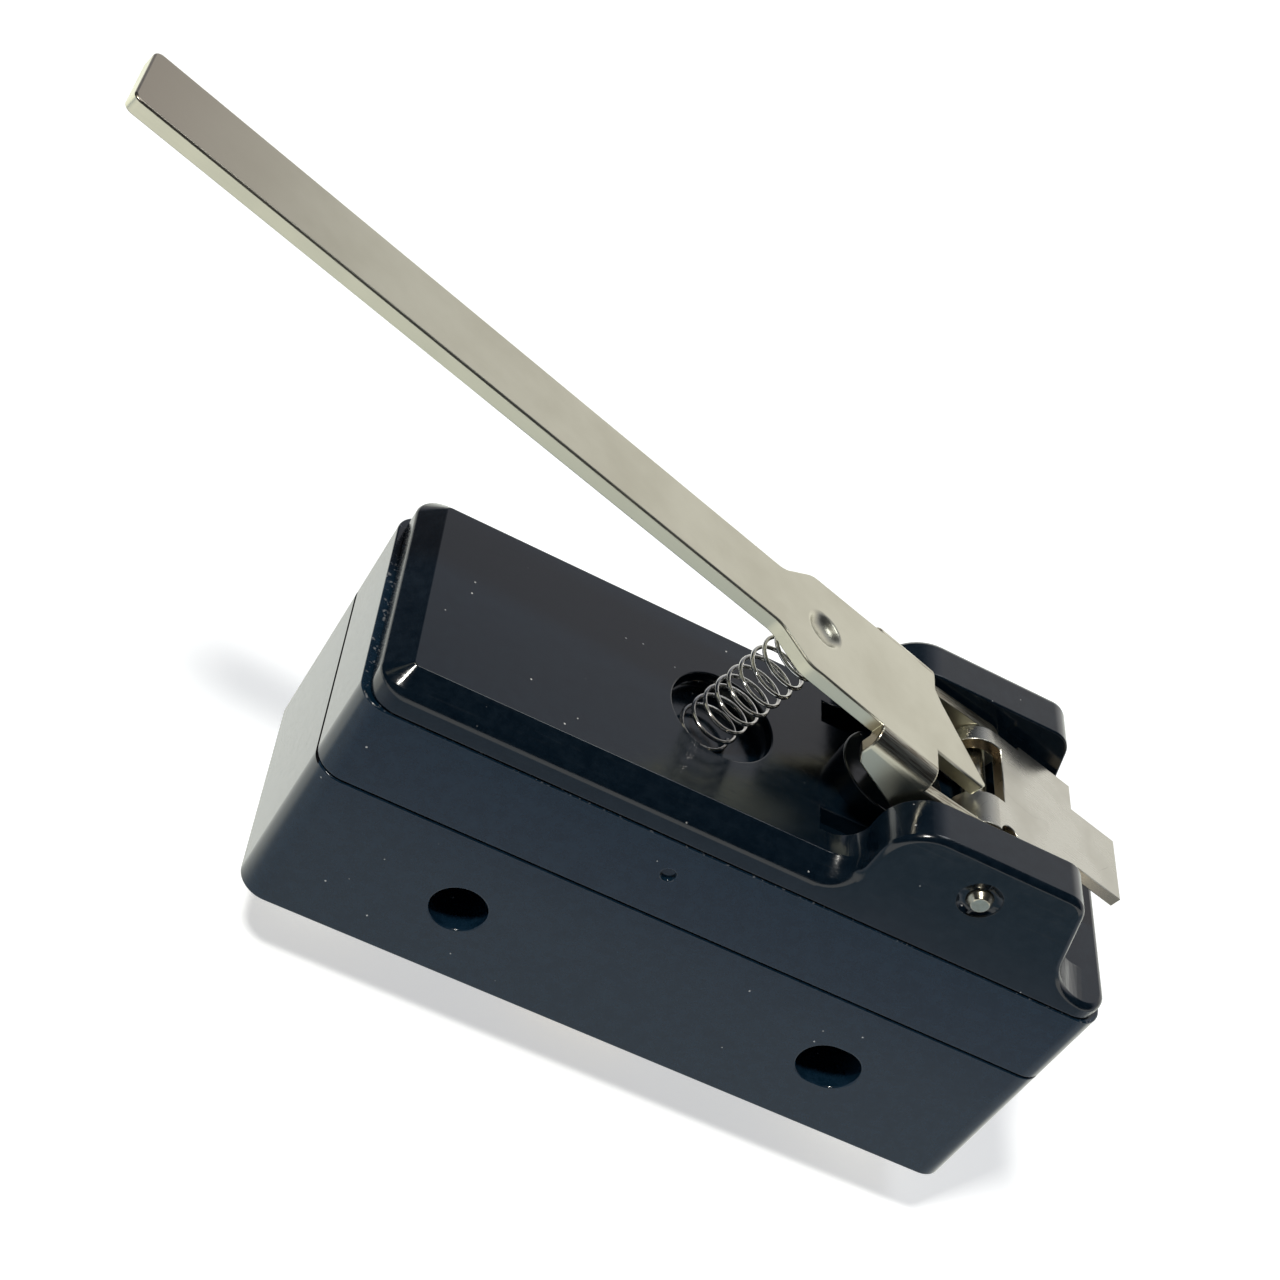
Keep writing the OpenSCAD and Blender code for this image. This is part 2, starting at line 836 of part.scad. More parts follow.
// One ring of points round the wire
function coil_ring(i) =
    let (p = coil_point(i), q = coil_point(i + 1) - coil_point(i - 1), d = q / norm(q),
        a = 360 * i / coil_seg, n = [cos(a), sin(a), 0], b0 = cross(d, n), b = b0 / norm(b0))
    [for (k = [0 : coil_sides - 1])
        p + wire_d / 2 * (cos(360 * k / coil_sides) * n + sin(360 * k / coil_sides) * b)];

// Coil spring between the pocket and the lever
module return_spring() {
    points = [for (i = [0 : coil_steps], p = coil_ring(i)) p];
    sides = [for (i = [0 : coil_steps - 1], k = [0 : coil_sides - 1])
        let (a = i * coil_sides + k, b = i * coil_sides + (k + 1) % coil_sides)
        [a, b, b + coil_sides, a + coil_sides]];
    foot = [[for (k = [0 : coil_sides - 1]) coil_sides - 1 - k]];
    head = [[for (k = [0 : coil_sides - 1]) coil_steps * coil_sides + k]];
    color(wire)
        at_hole()
            polyhedron(points, concat(sides, foot, head), convexity = 12);
}

// Moulded plunger with a broad foot and a domed stem
module plunger() {
    color(phenolic)
        at_hole()
            translate([plunger_x, 0, 0]) {
                bar(0, 0, foot_d, blade_top + free_travel, roof_z - collar_gap);
                bar(0, 0, stem_d, roof_z - over, stem_top - shoulder);
                intersection() {
                    translate([0, 0, stem_top - dome_r])
                        sphere(dome_r);
                    bar(0, 0, stem_d, stem_top - dome_r, stem_top + over);
                }
            }
}

// Spring blade with a window and a bowed tongue
module snap_blade() {
    color(copper)
        at_hole() {
            difference() {
                plank(blade_x0, blade_x1, blade_w, blade_z, blade_top);
                plank(win_x0, win_x1, win_w, blade_z - over, blade_top + over);
                bar(blade_rivet_x, 0, blade_hole_d, blade_z - over, blade_top + over);
                bar(contact_x, 0, contact_neck + fit, blade_z - over, blade_top + over);
            }
            intersection() {
                translate([bow_mid, 0, bow_z])
                    across(-bow_w / 2, bow_w / 2)
                        difference() {
                            circle(bow_r + blade_t / 2);
                            circle(bow_r - blade_t / 2);
                        }
                plank(bow_x0, win_x1 + blade_t, bow_w, blade_z - 2 * bow_sag, blade_top);
            }
        }
}

// Double contact riveted through the blade
module moving_contact() {
    color(silver)
        at_hole() {
            bar(contact_x, 0, contact_d, move_low, blade_z);
            bar(contact_x, 0, contact_neck, move_low, move_high);
            bar(contact_x, 0, contact_d, blade_top, move_high);
        }
}

// Rivet that keeps the blade on its fulcrum
module blade_rivet() {
    color(brass)
        at_hole() {
            bar(blade_rivet_x, 0, blade_rivet_d, pad_z - blade_rivet_deep, blade_top + blade_rivet_gap);
            bar(blade_rivet_x, 0, blade_rivet_head, blade_top + blade_rivet_gap,
                blade_top + blade_rivet_gap + blade_rivet_h);
        }
}

// Upright with a groove that takes the tip of the bowed tongue
module bow_anvil() {
    color(brass)
        at_hole()
            difference() {
                union() {
                    plank(pad_x1 + fit, anvil_x1, anvil_w, cav_z, cav_z + strip_t);
                    plank(anvil_x0, anvil_x1, anvil_w, cav_z, blade_top + anvil_over);
                }
                across(-anvil_w, anvil_w)
                    polygon([
                        [anvil_x1 + fit, blade_z + blade_t / 2 - groove_h / 2],
                        [anvil_x1 - groove_d, blade_z + blade_t / 2],
                        [anvil_x1 + fit, blade_z + blade_t / 2 + groove_h / 2]]);
            }
}

// Plate, stem and screw hole that the three terminals share
module terminal_post(p, top) {
    difference() {
        union() {
            translate([p[0], 0, 0])
                block(plate_w, plate_w, plate_r, p[1], p[1] + plate_t);
            bar(p[0], 0, post_d, p[1], top);
        }
        bar(p[0], 0, screw_d + 2 * thread_play, p[1] - over, p[1] + plate_t + screw_in);
    }
}

// Common terminal with the pad and half round fulcrum for the blade
module common_terminal() {
    color(brass)
        at_hole() {
            terminal_post(terminal_places[0], cav_z + fit);
            difference() {
                union() {
                    plank(pad_x0, pad_x1, pad_w, cav_z, pad_z);
                    translate([fulcrum_x, 0, pad_z])
                        across(-pad_w / 2, pad_w / 2)
                            circle(fulcrum_r);
                }
                bar(blade_rivet_x, 0, blade_rivet_d + fit, pad_z - blade_rivet_deep - fit, pad_z + over);
            }
        }
}

// Normally open terminal with its strip along the floor
module normally_open_terminal() {
    color(brass)
        at_hole() {
            terminal_post(terminal_places[1], cav_z + fit);
            plank(open_x - post_r, contact_x + strip_w / 2, strip_w, cav_z, open_strip);
        }
}

// Normally closed terminal with its bracket over the blade end
module normally_closed_terminal() {
    color(brass)
        at_hole() {
            terminal_post(terminal_places[2], cav_z + fit);
            plank(closed_x - post_r / 2, leg_x1, strip_w, cav_z, cav_z + strip_t);
            plank(leg_x1 - leg_t, leg_x1, strip_w, cav_z, closed_arm + strip_t);
            plank(contact_x - strip_w / 2, leg_x1, strip_w, closed_arm, closed_arm + strip_t);
        }
}

// Contact on the normally open strip
module normally_open_contact() {
    color(silver)
        at_hole()
            bar(contact_x, 0, contact_d, open_strip, open_top);
}

// Contact under the normally closed bracket
module normally_closed_contact() {
    color(silver)
        at_hole()
            bar(contact_x, 0, contact_d, closed_low, closed_arm);
}

// Three slotted terminal screws
module terminal_screws() {
    color(steel)
        at_hole()
            for (p = terminal_places)
                translate([p[0], 0, p[1] - washer_h])
                    difference() {
                        union() {
                            bar(0, 0, screw_d, -head_h, washer_h + screw_in);
                            bar(0, 0, head_d, -head_h, 0);
                        }
                        translate([-head_d, -head_slot_w / 2, -head_h - over])
                            cube([2 * head_d, head_slot_w, over + head_slot_h]);
                    }
}

// Three cup washers under the screw heads
module cup_washers() {
    color(brass)
        at_hole()
            for (p = terminal_places)
                translate([p[0], 0, p[1] - washer_h])
                    difference() {
                        bar(0, 0, washer_d, 0, washer_h);
                        bar(0, 0, washer_d - 2 * cup_wall, cup_t, washer_h + over);
                        bar(0, 0, screw_d + 2 * thread_play, -over, washer_h + over);
                    }
}

base_case();
case_cover();
lever_housing();
case_rivets();
hinge_pin();
lever();
tail_leaf();
return_spring();
plunger();
snap_blade();
moving_contact();
blade_rivet();
bow_anvil();
common_terminal();
normally_open_terminal();
normally_closed_terminal();
normally_open_contact();
normally_closed_contact();
terminal_screws();
cup_washers();
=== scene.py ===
# %% [markdown]
# This lesson dresses a snap action switch: a dark moulded case, a long stamped lever on a pin,
# a coil spring under the lever and screw terminals below. The solids come from a CAD model, in
# metres, with the round fixing hole at the origin. Blender only adds the finish, so the first
# step is to load those solids and to note the box that they fill. The script writes the sizes of
# the switch in millimetres, as on a drawing, and MM turns them into metres.

# %% Load the solids
import json
import math

import bmesh
import bpy
from mathutils import Matrix, Vector


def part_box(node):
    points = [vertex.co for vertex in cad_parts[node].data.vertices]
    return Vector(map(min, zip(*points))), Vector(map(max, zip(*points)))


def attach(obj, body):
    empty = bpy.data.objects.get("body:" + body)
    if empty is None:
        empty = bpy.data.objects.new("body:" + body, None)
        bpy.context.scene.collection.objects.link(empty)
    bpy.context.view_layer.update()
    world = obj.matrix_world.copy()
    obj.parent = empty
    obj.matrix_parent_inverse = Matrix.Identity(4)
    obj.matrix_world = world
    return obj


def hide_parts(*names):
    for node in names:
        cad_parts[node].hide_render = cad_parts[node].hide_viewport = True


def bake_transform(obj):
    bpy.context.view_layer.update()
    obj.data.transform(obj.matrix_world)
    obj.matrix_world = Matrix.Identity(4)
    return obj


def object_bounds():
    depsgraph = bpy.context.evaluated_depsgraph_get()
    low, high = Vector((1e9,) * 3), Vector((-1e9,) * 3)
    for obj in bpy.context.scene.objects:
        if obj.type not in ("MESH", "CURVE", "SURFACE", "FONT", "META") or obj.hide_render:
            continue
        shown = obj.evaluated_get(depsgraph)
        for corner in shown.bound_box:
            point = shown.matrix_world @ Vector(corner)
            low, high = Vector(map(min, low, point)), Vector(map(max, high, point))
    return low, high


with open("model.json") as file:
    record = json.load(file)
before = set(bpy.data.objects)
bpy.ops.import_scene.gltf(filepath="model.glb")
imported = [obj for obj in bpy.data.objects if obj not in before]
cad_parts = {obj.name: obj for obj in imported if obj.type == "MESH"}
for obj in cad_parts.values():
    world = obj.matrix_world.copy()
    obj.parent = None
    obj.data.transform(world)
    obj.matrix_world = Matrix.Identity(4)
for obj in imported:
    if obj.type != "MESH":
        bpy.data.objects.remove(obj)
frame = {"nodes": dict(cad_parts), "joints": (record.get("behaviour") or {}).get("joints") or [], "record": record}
cad_low, cad_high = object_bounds()
nodes = frame["nodes"]
joints = {joint["name"]: joint for joint in frame["joints"]}
mounts = {mount["name"]: mount for mount in frame["record"]["mounts"]}
MM = 0.001


def to_mm(place):
    """Gives a place or a size in millimetres."""
    return Vector([value / MM for value in place])


print("loaded", len(nodes), "nodes, box in mm", [round(x, 2) for x in to_mm(cad_high - cad_low)])

# %% [markdown]
# The camera looks down on the front of the case and is rolled, so that the case leans in the
# picture. Its place could be found by dragging it about. Here it comes from a fit of a pinhole
# camera to the known distance between the two fixing holes, and only the result is kept.

# %% Place the camera
EYE = Vector((-33.877, -105.779, 96.858)) * MM
AIM = Vector((2.166, 0.0, 16.969)) * MM
ROLL = math.radians(36.329)
LENS_MM = 67.23
SENSOR_MM = 36.0
NEAREST_M, FARTHEST_M = 0.005, 20.0


def camera_axes(eye, aim, roll):
    """Gives the camera's right, up and back directions."""
    forward = (aim - eye).normalized()
    right = forward.cross(Vector((0, 0, 1))).normalized()
    down = forward.cross(right)
    turned_right = math.cos(roll) * right - math.sin(roll) * down
    turned_up = -(math.sin(roll) * right + math.cos(roll) * down)
    return turned_right, turned_up, -forward


lens = bpy.data.cameras.new("view_camera")
lens.lens = LENS_MM
lens.sensor_width = SENSOR_MM
lens.clip_start = NEAREST_M
lens.clip_end = FARTHEST_M
camera = bpy.data.objects.new("view_camera", lens)
bpy.context.scene.collection.objects.link(camera)
axes = Matrix(camera_axes(EYE, AIM, ROLL)).transposed()
camera.matrix_world = Matrix.Translation(EYE) @ axes.to_4x4()
bpy.context.scene.camera = camera
bpy.context.scene.view_settings.view_transform = "Standard"
print("camera", [round(x, 1) for x in to_mm(EYE)], "mm, lens", LENS_MM)

# %% [markdown]
# Materials and Geometry Nodes are both built from nodes. A few small helpers keep the cells short:
# they add a node and fill or link its sockets, or start and finish a group with named sockets.


# %% Helpers for node trees
def put(tree, kind, settings=None, sockets=None):
    """Adds a node, sets its properties, then links or fills its input sockets."""
    node = tree.nodes.new(kind)
    for name, value in (settings or {}).items():
        setattr(node, name, value)
    for key, value in (sockets or {}).items():
        if isinstance(value, bpy.types.NodeSocket):
            tree.links.new(value, node.inputs[key])
        else:
            node.inputs[key].default_value = value
    return node


def math_node(tree, operation, *values):
    """Adds a math node on one, two or three values and gives its result."""
    return put(tree, "ShaderNodeMath", {"operation": operation}, dict(enumerate(values))).outputs[0]


def parts_of(tree, vector):
    """Gives the X, Y and Z parts of a vector."""
    return put(tree, "ShaderNodeSeparateXYZ", None, {0: vector}).outputs


def noise(tree, vector, scale, detail, **more):
    """Adds a noise texture and gives its value."""
    sockets = {"Vector": vector, "Scale": scale, "Detail": detail, **more}
    return put(tree, "ShaderNodeTexNoise", None, sockets).outputs[0]


def blend_colours(tree, factor, first, second):
    """Mixes two colours by a factor. Each is a socket or red, green and blue."""
    pair = [(*colour, 1.0) if isinstance(colour, tuple) else colour for colour in (first, second)]
    node = put(tree, "ShaderNodeMix", {"data_type": "RGBA"}, {0: factor, 6: pair[0], 7: pair[1]})
    return node.outputs[2]


def smooth_step(tree, value, low, high):
    """Goes softly from 0 at low to 1 at high, which may also be the smaller one."""
    node = put(tree, "ShaderNodeMapRange", {"interpolation_type": "SMOOTHSTEP"},
               {"Value": value, "From Min": low, "From Max": high})
    return node.outputs["Result"]


def colour_ramp(tree, factor, stops):
    """Runs softly through colours at given places."""
    node = put(tree, "ShaderNodeValToRGB", None, {"Fac": factor})
    ramp = node.color_ramp
    ramp.interpolation = "EASE"
    while len(ramp.elements) < len(stops):
        ramp.elements.new(0.5)
    for element, (position, colour) in zip(ramp.elements, stops):
        element.position = position
        element.color = (*colour, 1.0)
    return node.outputs["Color"]


def start_group(name, kind, inputs, outputs):
    """Makes a node group with named sockets and gives it with its two end nodes."""
    group = bpy.data.node_groups.new(name, kind)
    for label, socket_type, value in inputs:
        socket = group.interface.new_socket(label, in_out="INPUT", socket_type=socket_type)
        if value is not None:
            socket.default_value = value
    for label, socket_type in outputs:
        group.interface.new_socket(label, in_out="OUTPUT", socket_type=socket_type)
    return group, group.nodes.new("NodeGroupInput"), group.nodes.new("NodeGroupOutput")


def finish_group(group, end, results):
    """Links the results to the group's outputs by name."""
    for label, value in results.items():
        group.links.new(value, end.inputs[label])
    return group


def start_material(name):
    """Makes a material and gives its tree, its shader and its coordinates."""
    material = bpy.data.materials.new(name)
    material.use_nodes = True
    tree = material.node_tree
    shader = tree.nodes["Principled BSDF"]
    place = put(tree, "ShaderNodeTexCoord")
    return material, tree, shader, place


print("helpers for node trees ready")

# %% [markdown]
# The switch stands on a pale floor that runs out of the picture on all sides. The floor takes the
# soft shadow. Some white is added to it for rays from the camera, so that it reads as white paper.
# Shiny surfaces see painted light and shade on it instead, in broad stripes from front to back: bright behind the
# switch, where the light comes from, a painted shadow of the switch just in front of it, and bright again farther
# out. The room is sized in metres.

# %% Lay the floor
FLOOR_HALF_M = 1.5
FLOOR_TONE = (0.84, 0.87, 0.90, 1.0)
CAMERA_LIFT = 0.55
PAINTED_FLOOR_HALF_M = 0.1
# Painted light and a painted shadow, seen only by shiny surfaces: bright behind the switch, dark in front where it
# would shade the floor, bright again farther out.
PAINTED_FLOOR_LIGHT = [
    (0.00, (0.95, 0.96, 0.93)),
    (0.20, (0.95, 0.96, 0.93)),
    (0.26, (0.15, 0.24, 0.31)),
    (0.30, (0.20, 0.29, 0.37)),
    (0.35, (0.37, 0.42, 0.50)),
    (0.40, (0.49, 0.55, 0.61)),
    (0.44, (0.50, 0.56, 0.61)),
    (0.48, (1.24, 1.27, 1.18)),
    (1.00, (1.24, 1.27, 1.18)),
]


def paper_material():
    """White paper that keeps the shadow and shows painted light and shade only to shiny surfaces."""
    material = bpy.data.materials.new("floor_paper")
    material.use_nodes = True
    tree = material.node_tree
    tree.nodes.clear()
    matt = put(tree, "ShaderNodeBsdfDiffuse", None, {"Color": FLOOR_TONE})
    ray = put(tree, "ShaderNodeLightPath").outputs
    lift = math_node(tree, "MULTIPLY", ray["Is Camera Ray"], CAMERA_LIFT)
    glow = put(tree, "ShaderNodeEmission", None, {"Strength": lift})
    paper = put(tree, "ShaderNodeAddShader", None, {0: matt.outputs[0], 1: glow.outputs[0]})
    spot = parts_of(tree, put(tree, "ShaderNodeTexCoord").outputs["Object"])
    share = put(tree, "ShaderNodeMapRange", None,
                {"Value": spot["Y"], "From Min": -PAINTED_FLOOR_HALF_M, "From Max": PAINTED_FLOOR_HALF_M})
    # Painted light and shadow on the floor, as a glow that only reflections see.
    painted_bands = put(tree, "ShaderNodeEmission", None,
                {"Color": colour_ramp(tree, share.outputs["Result"], PAINTED_FLOOR_LIGHT)})
    shiny = math_node(tree, "MAXIMUM", ray["Is Glossy Ray"], ray["Is Transmission Ray"])
    seen = put(tree, "ShaderNodeMixShader", None,
               {0: shiny, 1: paper.outputs[0], 2: painted_bands.outputs[0]})
    put(tree, "ShaderNodeOutputMaterial", None, {"Surface": seen.outputs[0]})
    return material


floor_mesh = bpy.data.meshes.new("floor")
floor_corners = [(x * FLOOR_HALF_M, y * FLOOR_HALF_M, cad_low.z)
                 for x, y in [(-1, -1), (1, -1), (1, 1), (-1, 1)]]
floor_mesh.from_pydata(floor_corners, [], [range(4)])
floor = bpy.data.objects.new("floor", floor_mesh)
floor_mesh.materials.append(paper_material())
bpy.context.scene.collection.objects.link(floor)
print("floor at", round(cad_low.z / MM, 2), "mm")

# %% [markdown]
# Black plastic and plated metal show little colour of their own. What they show is the room. The
# world is therefore a soft gradient, bright low down behind the right of the switch and dark
# overhead, as in a room lit from one side. A small lamp up on the left adds the highlights on
# corners, wire and pin, and a broad weak one overhead draws the thin line along the plateau.

# %% Light the room
BRIGHT_SIDE = Vector((0.5, 0.7, -0.5)).normalized()
ROOM_STEPS = [
    (0.00, (0.014, 0.017, 0.022)),
    (0.55, (0.022, 0.027, 0.036)),
    (0.60, (0.200, 0.215, 0.250)),
    (0.68, (0.520, 0.530, 0.580)),
    (0.75, (0.560, 0.548, 0.545)),
    (0.84, (1.020, 1.005, 0.975)),
    (1.00, (1.180, 1.160, 1.120)),
]
WHITE = (1.0, 1.0, 1.0)
LAMP_AWAY_M = 2.0
LAMPS = {
    "key_lamp": dict(direction=(-0.37, -0.27, 0.89), size=0.22, power=24.0, colour=(1.0, 0.97, 0.90)),
    "top_lamp": dict(direction=(0.18, 0.27, 0.94), size=0.65, power=4.5, colour=(0.95, 0.98, 1.0)),
}


def room_world():
    """World that is white to the camera and a soft gradient to all else."""
    world = bpy.data.worlds.new("room")
    world.use_nodes = True
    tree = world.node_tree
    tree.nodes.clear()
    place = put(tree, "ShaderNodeTexCoord")
    along = put(tree, "ShaderNodeVectorMath", {"operation": "DOT_PRODUCT"},
                {0: place.outputs["Generated"], 1: BRIGHT_SIDE})
    share = math_node(tree, "MULTIPLY_ADD", along.outputs["Value"], 0.5, 0.5)
    room = colour_ramp(tree, share, ROOM_STEPS)
    ray = put(tree, "ShaderNodeLightPath").outputs
    shown = blend_colours(tree, ray["Is Camera Ray"], room, WHITE)
    back = put(tree, "ShaderNodeBackground", None, {"Color": shown, "Strength": 1.0})
    put(tree, "ShaderNodeOutputWorld", None, {"Surface": back.outputs[0]})
    return world


def soft_lamp(name, direction, size, power, colour):
    """Square lamp that looks at the switch from a direction."""
    data = bpy.data.lights.new(name, "AREA")
    data.size = size
    data.energy = power
    data.color = colour
    lamp = bpy.data.objects.new(name, data)
    aim = (cad_low + cad_high) / 2
    lamp.location = aim + Vector(direction).normalized() * LAMP_AWAY_M
    lamp.rotation_mode = "QUATERNION"
    lamp.rotation_quaternion = (lamp.location - aim).to_track_quat("Z", "Y")
    bpy.context.scene.collection.objects.link(lamp)
    return lamp


bpy.context.scene.world = room_world()
lamps = [soft_lamp(name, **look) for name, look in LAMPS.items()]
print("lamps", [lamp.name for lamp in lamps])

# %% [markdown]
# The moulded case is a dark phenolic with a faint mottle, fine marks from tumbling and a few specks
# of dust. Image textures could show that, but a group of noise nodes has no seams and no size
# limit. The group works in millimetres, and every moulded piece uses it with its own values.

# %% Group for moulded surfaces
MOTTLE_BAND = (0.36, 0.66)
STREAK_TURN = (0.5, 0.7, 0.4)
STREAKS_PER_MM = (0.35, 7.0, 7.0)
MARK_BAND = (0.56, 0.72)
MARK_DEPTH = 0.35
SPECKS_PER_MM = 0.9
SPECK_BAND = (0.075, 0.03)
FINE_PER_MM = 9.0


def place_in_mm(group, start):
    """Gives a group's Vector input in millimetres."""
    scaled = put(group, "ShaderNodeVectorMath", {"operation": "SCALE"},
                 {0: start.outputs["Vector"], "Scale": 1 / MM})
    return scaled.outputs[0]


def moulded_group():
    """Mottle, marks, dust and relief of a moulded surface."""
    group, start, end = start_group(
        "moulded_skin", "ShaderNodeTree",
        [("Vector", "NodeSocketVector", None), ("Mottle Size", "NodeSocketFloat", 1.2),
         ("Dust", "NodeSocketFloat", 0.05)],
        [("Mottle", "NodeSocketFloat"), ("Marks", "NodeSocketFloat"), ("Dust", "NodeSocketFloat"),
         ("Relief", "NodeSocketFloat")])
    in_mm = place_in_mm(group, start)
    per_size = math_node(group, "DIVIDE", 1.0, start.outputs["Mottle Size"])
    wide = noise(group, in_mm, per_size, 6.0, Roughness=0.75)
    turned = put(group, "ShaderNodeMapping", None,
                 {"Vector": in_mm, "Rotation": STREAK_TURN, "Scale": STREAKS_PER_MM})
    streak = noise(group, turned.outputs[0], 1.0, 3.0, Distortion=0.6)
    marks = smooth_step(group, streak, *MARK_BAND)
    cells = put(group, "ShaderNodeTexVoronoi", None, {"Vector": in_mm, "Scale": SPECKS_PER_MM})
    speck = smooth_step(group, cells.outputs["Distance"], *SPECK_BAND)
    tint = put(group, "ShaderNodeSeparateColor", None, {0: cells.outputs["Color"]})
    chosen = math_node(group, "LESS_THAN", tint.outputs[0], start.outputs["Dust"])
    fine = noise(group, in_mm, FINE_PER_MM, 3.0)
    return finish_group(group, end, {
        "Mottle": smooth_step(group, wide, *MOTTLE_BAND),
        "Marks": marks,
        "Dust": math_node(group, "MULTIPLY", speck, chosen),
        "Relief": math_node(group, "MULTIPLY_ADD", marks, -MARK_DEPTH, fine),
    })


MOULDED = moulded_group()
print("group", MOULDED.name)

# %% [markdown]
# Plated sheet is bright, with a satin grain from rolling, cloudy tarnish and hair scratches. A
# second group makes these for the lever, the leaf and the fasteners. Its grain is stretched along
# one direction. A hair scratch is a contour line of a slow noise, which bends as a real one does.

# %% Group for plated metal
GRAIN_PER_MM = 9.0
BENDS_PER_MM = 0.35
CONTOUR = 0.5
SCRATCH_BAND = (0.005, 0.001)
SCRATCHED_BAND = (0.50, 0.62)
SCRATCH_DEPTH = 0.6


def plated_group():
    """Clouds, rolled grain, scratches and relief of a plated surface."""
    group, start, end = start_group(
        "plated_skin", "ShaderNodeTree",
        [("Vector", "NodeSocketVector", None), ("Cloud Size", "NodeSocketFloat", 4.0),
         ("Grain Length", "NodeSocketFloat", 3.0)],
        [("Cloud", "NodeSocketFloat"), ("Grain", "NodeSocketFloat"), ("Scratch", "NodeSocketFloat"),
         ("Relief", "NodeSocketFloat")])
    in_mm = place_in_mm(group, start)
    per_cloud = math_node(group, "DIVIDE", 1.0, start.outputs["Cloud Size"])
    cloud = noise(group, in_mm, per_cloud, 4.0, Roughness=0.6)
    per_grain = math_node(group, "DIVIDE", 1.0, start.outputs["Grain Length"])
    squeeze = put(group, "ShaderNodeCombineXYZ", None, {0: per_grain, 1: GRAIN_PER_MM, 2: GRAIN_PER_MM})
    drawn = put(group, "ShaderNodeVectorMath", {"operation": "MULTIPLY"},
                {0: in_mm, 1: squeeze.outputs[0]})
    grain = noise(group, drawn.outputs[0], 1.0, 3.0, Roughness=0.6)
    slow = noise(group, in_mm, BENDS_PER_MM, 0.0)
    off_contour = math_node(group, "ABSOLUTE", math_node(group, "SUBTRACT", slow, CONTOUR))
    line = smooth_step(group, off_contour, *SCRATCH_BAND)
    scratch = math_node(group, "MULTIPLY", line, smooth_step(group, cloud, *SCRATCHED_BAND))
    return finish_group(group, end, {
        "Cloud": cloud,
        "Grain": grain,
        "Scratch": scratch,
        "Relief": math_node(group, "MULTIPLY_ADD", scratch, -SCRATCH_DEPTH, grain),
    })


PLATED = plated_group()
print("group", PLATED.name)

# %% [markdown]
# The phenolic is almost black. Mottle moves its colour and its gloss a little, marks dull it and dust adds pale
# points. The cover's upper edge is broken in small places, and its paler dashes are partly chip marks and partly
# painted highlights. The left end of the seam between base and cover is painted shade: black and dull, as the
# shade in the groove would be. Place tells where these are. The relief is far below what could be modelled, so it
# is a bump.

# %% Moulded materials
cover_low, cover_high = (to_mm(corner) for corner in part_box("case_cover"))
# Paler dashes on the cover's upper edge: chip marks with painted highlights.
CHIP_HIGHLIGHT_EDGE = cover_high.z
CHIP_HIGHLIGHT_BAND = (0.09, 0.04)
CHIP_HIGHLIGHTS_PER_MM = 3.0
CHIP_HIGHLIGHT_SHARE = (0.56, 0.74)
# Painted shade: the left end of the seam between base and cover is black and dull, as the shade in the groove.
SEAM_SHADE_RISE, SEAM_SHADE_RUN = 0.01, 0.3
SHADED_SEAM_HEIGHT = cover_low.z + SEAM_SHADE_RISE
SHADED_SEAM_END = cover_low.x + SEAM_SHADE_RUN
SEAM_SHADE_BAND = (0.18, 0.15)
# The first tone is chip marks with painted highlights, the last is painted shade in the seam.
CHIP_HIGHLIGHT_TONE = (0.26, 0.27, 0.29)
DUST_TONE = (0.80, 0.80, 0.79)
SEAM_SHADE_TONE = (0.006, 0.006, 0.007)
MARK_DULL, MOTTLE_DULL, SEAM_SHADE_DULL = 0.08, 0.05, 0.8
PHENOLIC_IOR = 1.58
PHENOLIC_SHINE = 0.5
MOULDINGS = {
    "case_phenolic": dict(deep=(0.003, 0.016, 0.034), pale=(0.008, 0.026, 0.050),
                          gloss=0.12, mottle_size=0.7, dust=0.15, relief=0.002),
    "housing_phenolic": dict(deep=(0.002, 0.007, 0.014), pale=(0.005, 0.012, 0.021),
                             gloss=0.13, mottle_size=0.9, dust=0.40, relief=0.0015),
    "plunger_phenolic": dict(deep=(0.010, 0.007, 0.005), pale=(0.020, 0.014, 0.010),
                             gloss=0.30, mottle_size=0.8, dust=0.0, relief=0.003),
}


def near_height(tree, spot, height, band):
    """Gives a mask along a height, which fades over a band of distances in millimetres."""
    off = math_node(tree, "ABSOLUTE", math_node(tree, "SUBTRACT", spot["Z"], height * MM))
    return smooth_step(tree, off, *(edge * MM for edge in band))


def chip_highlights(tree, place, spot):
    """Gives short dashes along the cover's upper edge: chip marks with painted highlights."""
    near = near_height(tree, spot, CHIP_HIGHLIGHT_EDGE, CHIP_HIGHLIGHT_BAND)
    broken = noise(tree, place.outputs["Object"], CHIP_HIGHLIGHTS_PER_MM / MM, 4.0)
    return math_node(tree, "MULTIPLY", near, smooth_step(tree, broken, *CHIP_HIGHLIGHT_SHARE))


def painted_seam_shade(tree, spot):
    """Gives the painted shade along the left end of the seam."""
    near = near_height(tree, spot, SHADED_SEAM_HEIGHT, SEAM_SHADE_BAND)
    at_end = math_node(tree, "LESS_THAN", spot["X"], SHADED_SEAM_END * MM)
    return math_node(tree, "MULTIPLY", near, at_end)


def relief_bump(tree, skin, depth):
    """Gives the normal of a fine relief whose depth is in millimetres."""
    bump = put(tree, "ShaderNodeBump", None,
               {"Strength": 1.0, "Distance": depth * MM, "Height": skin.outputs["Relief"]})
    return bump.outputs[0]


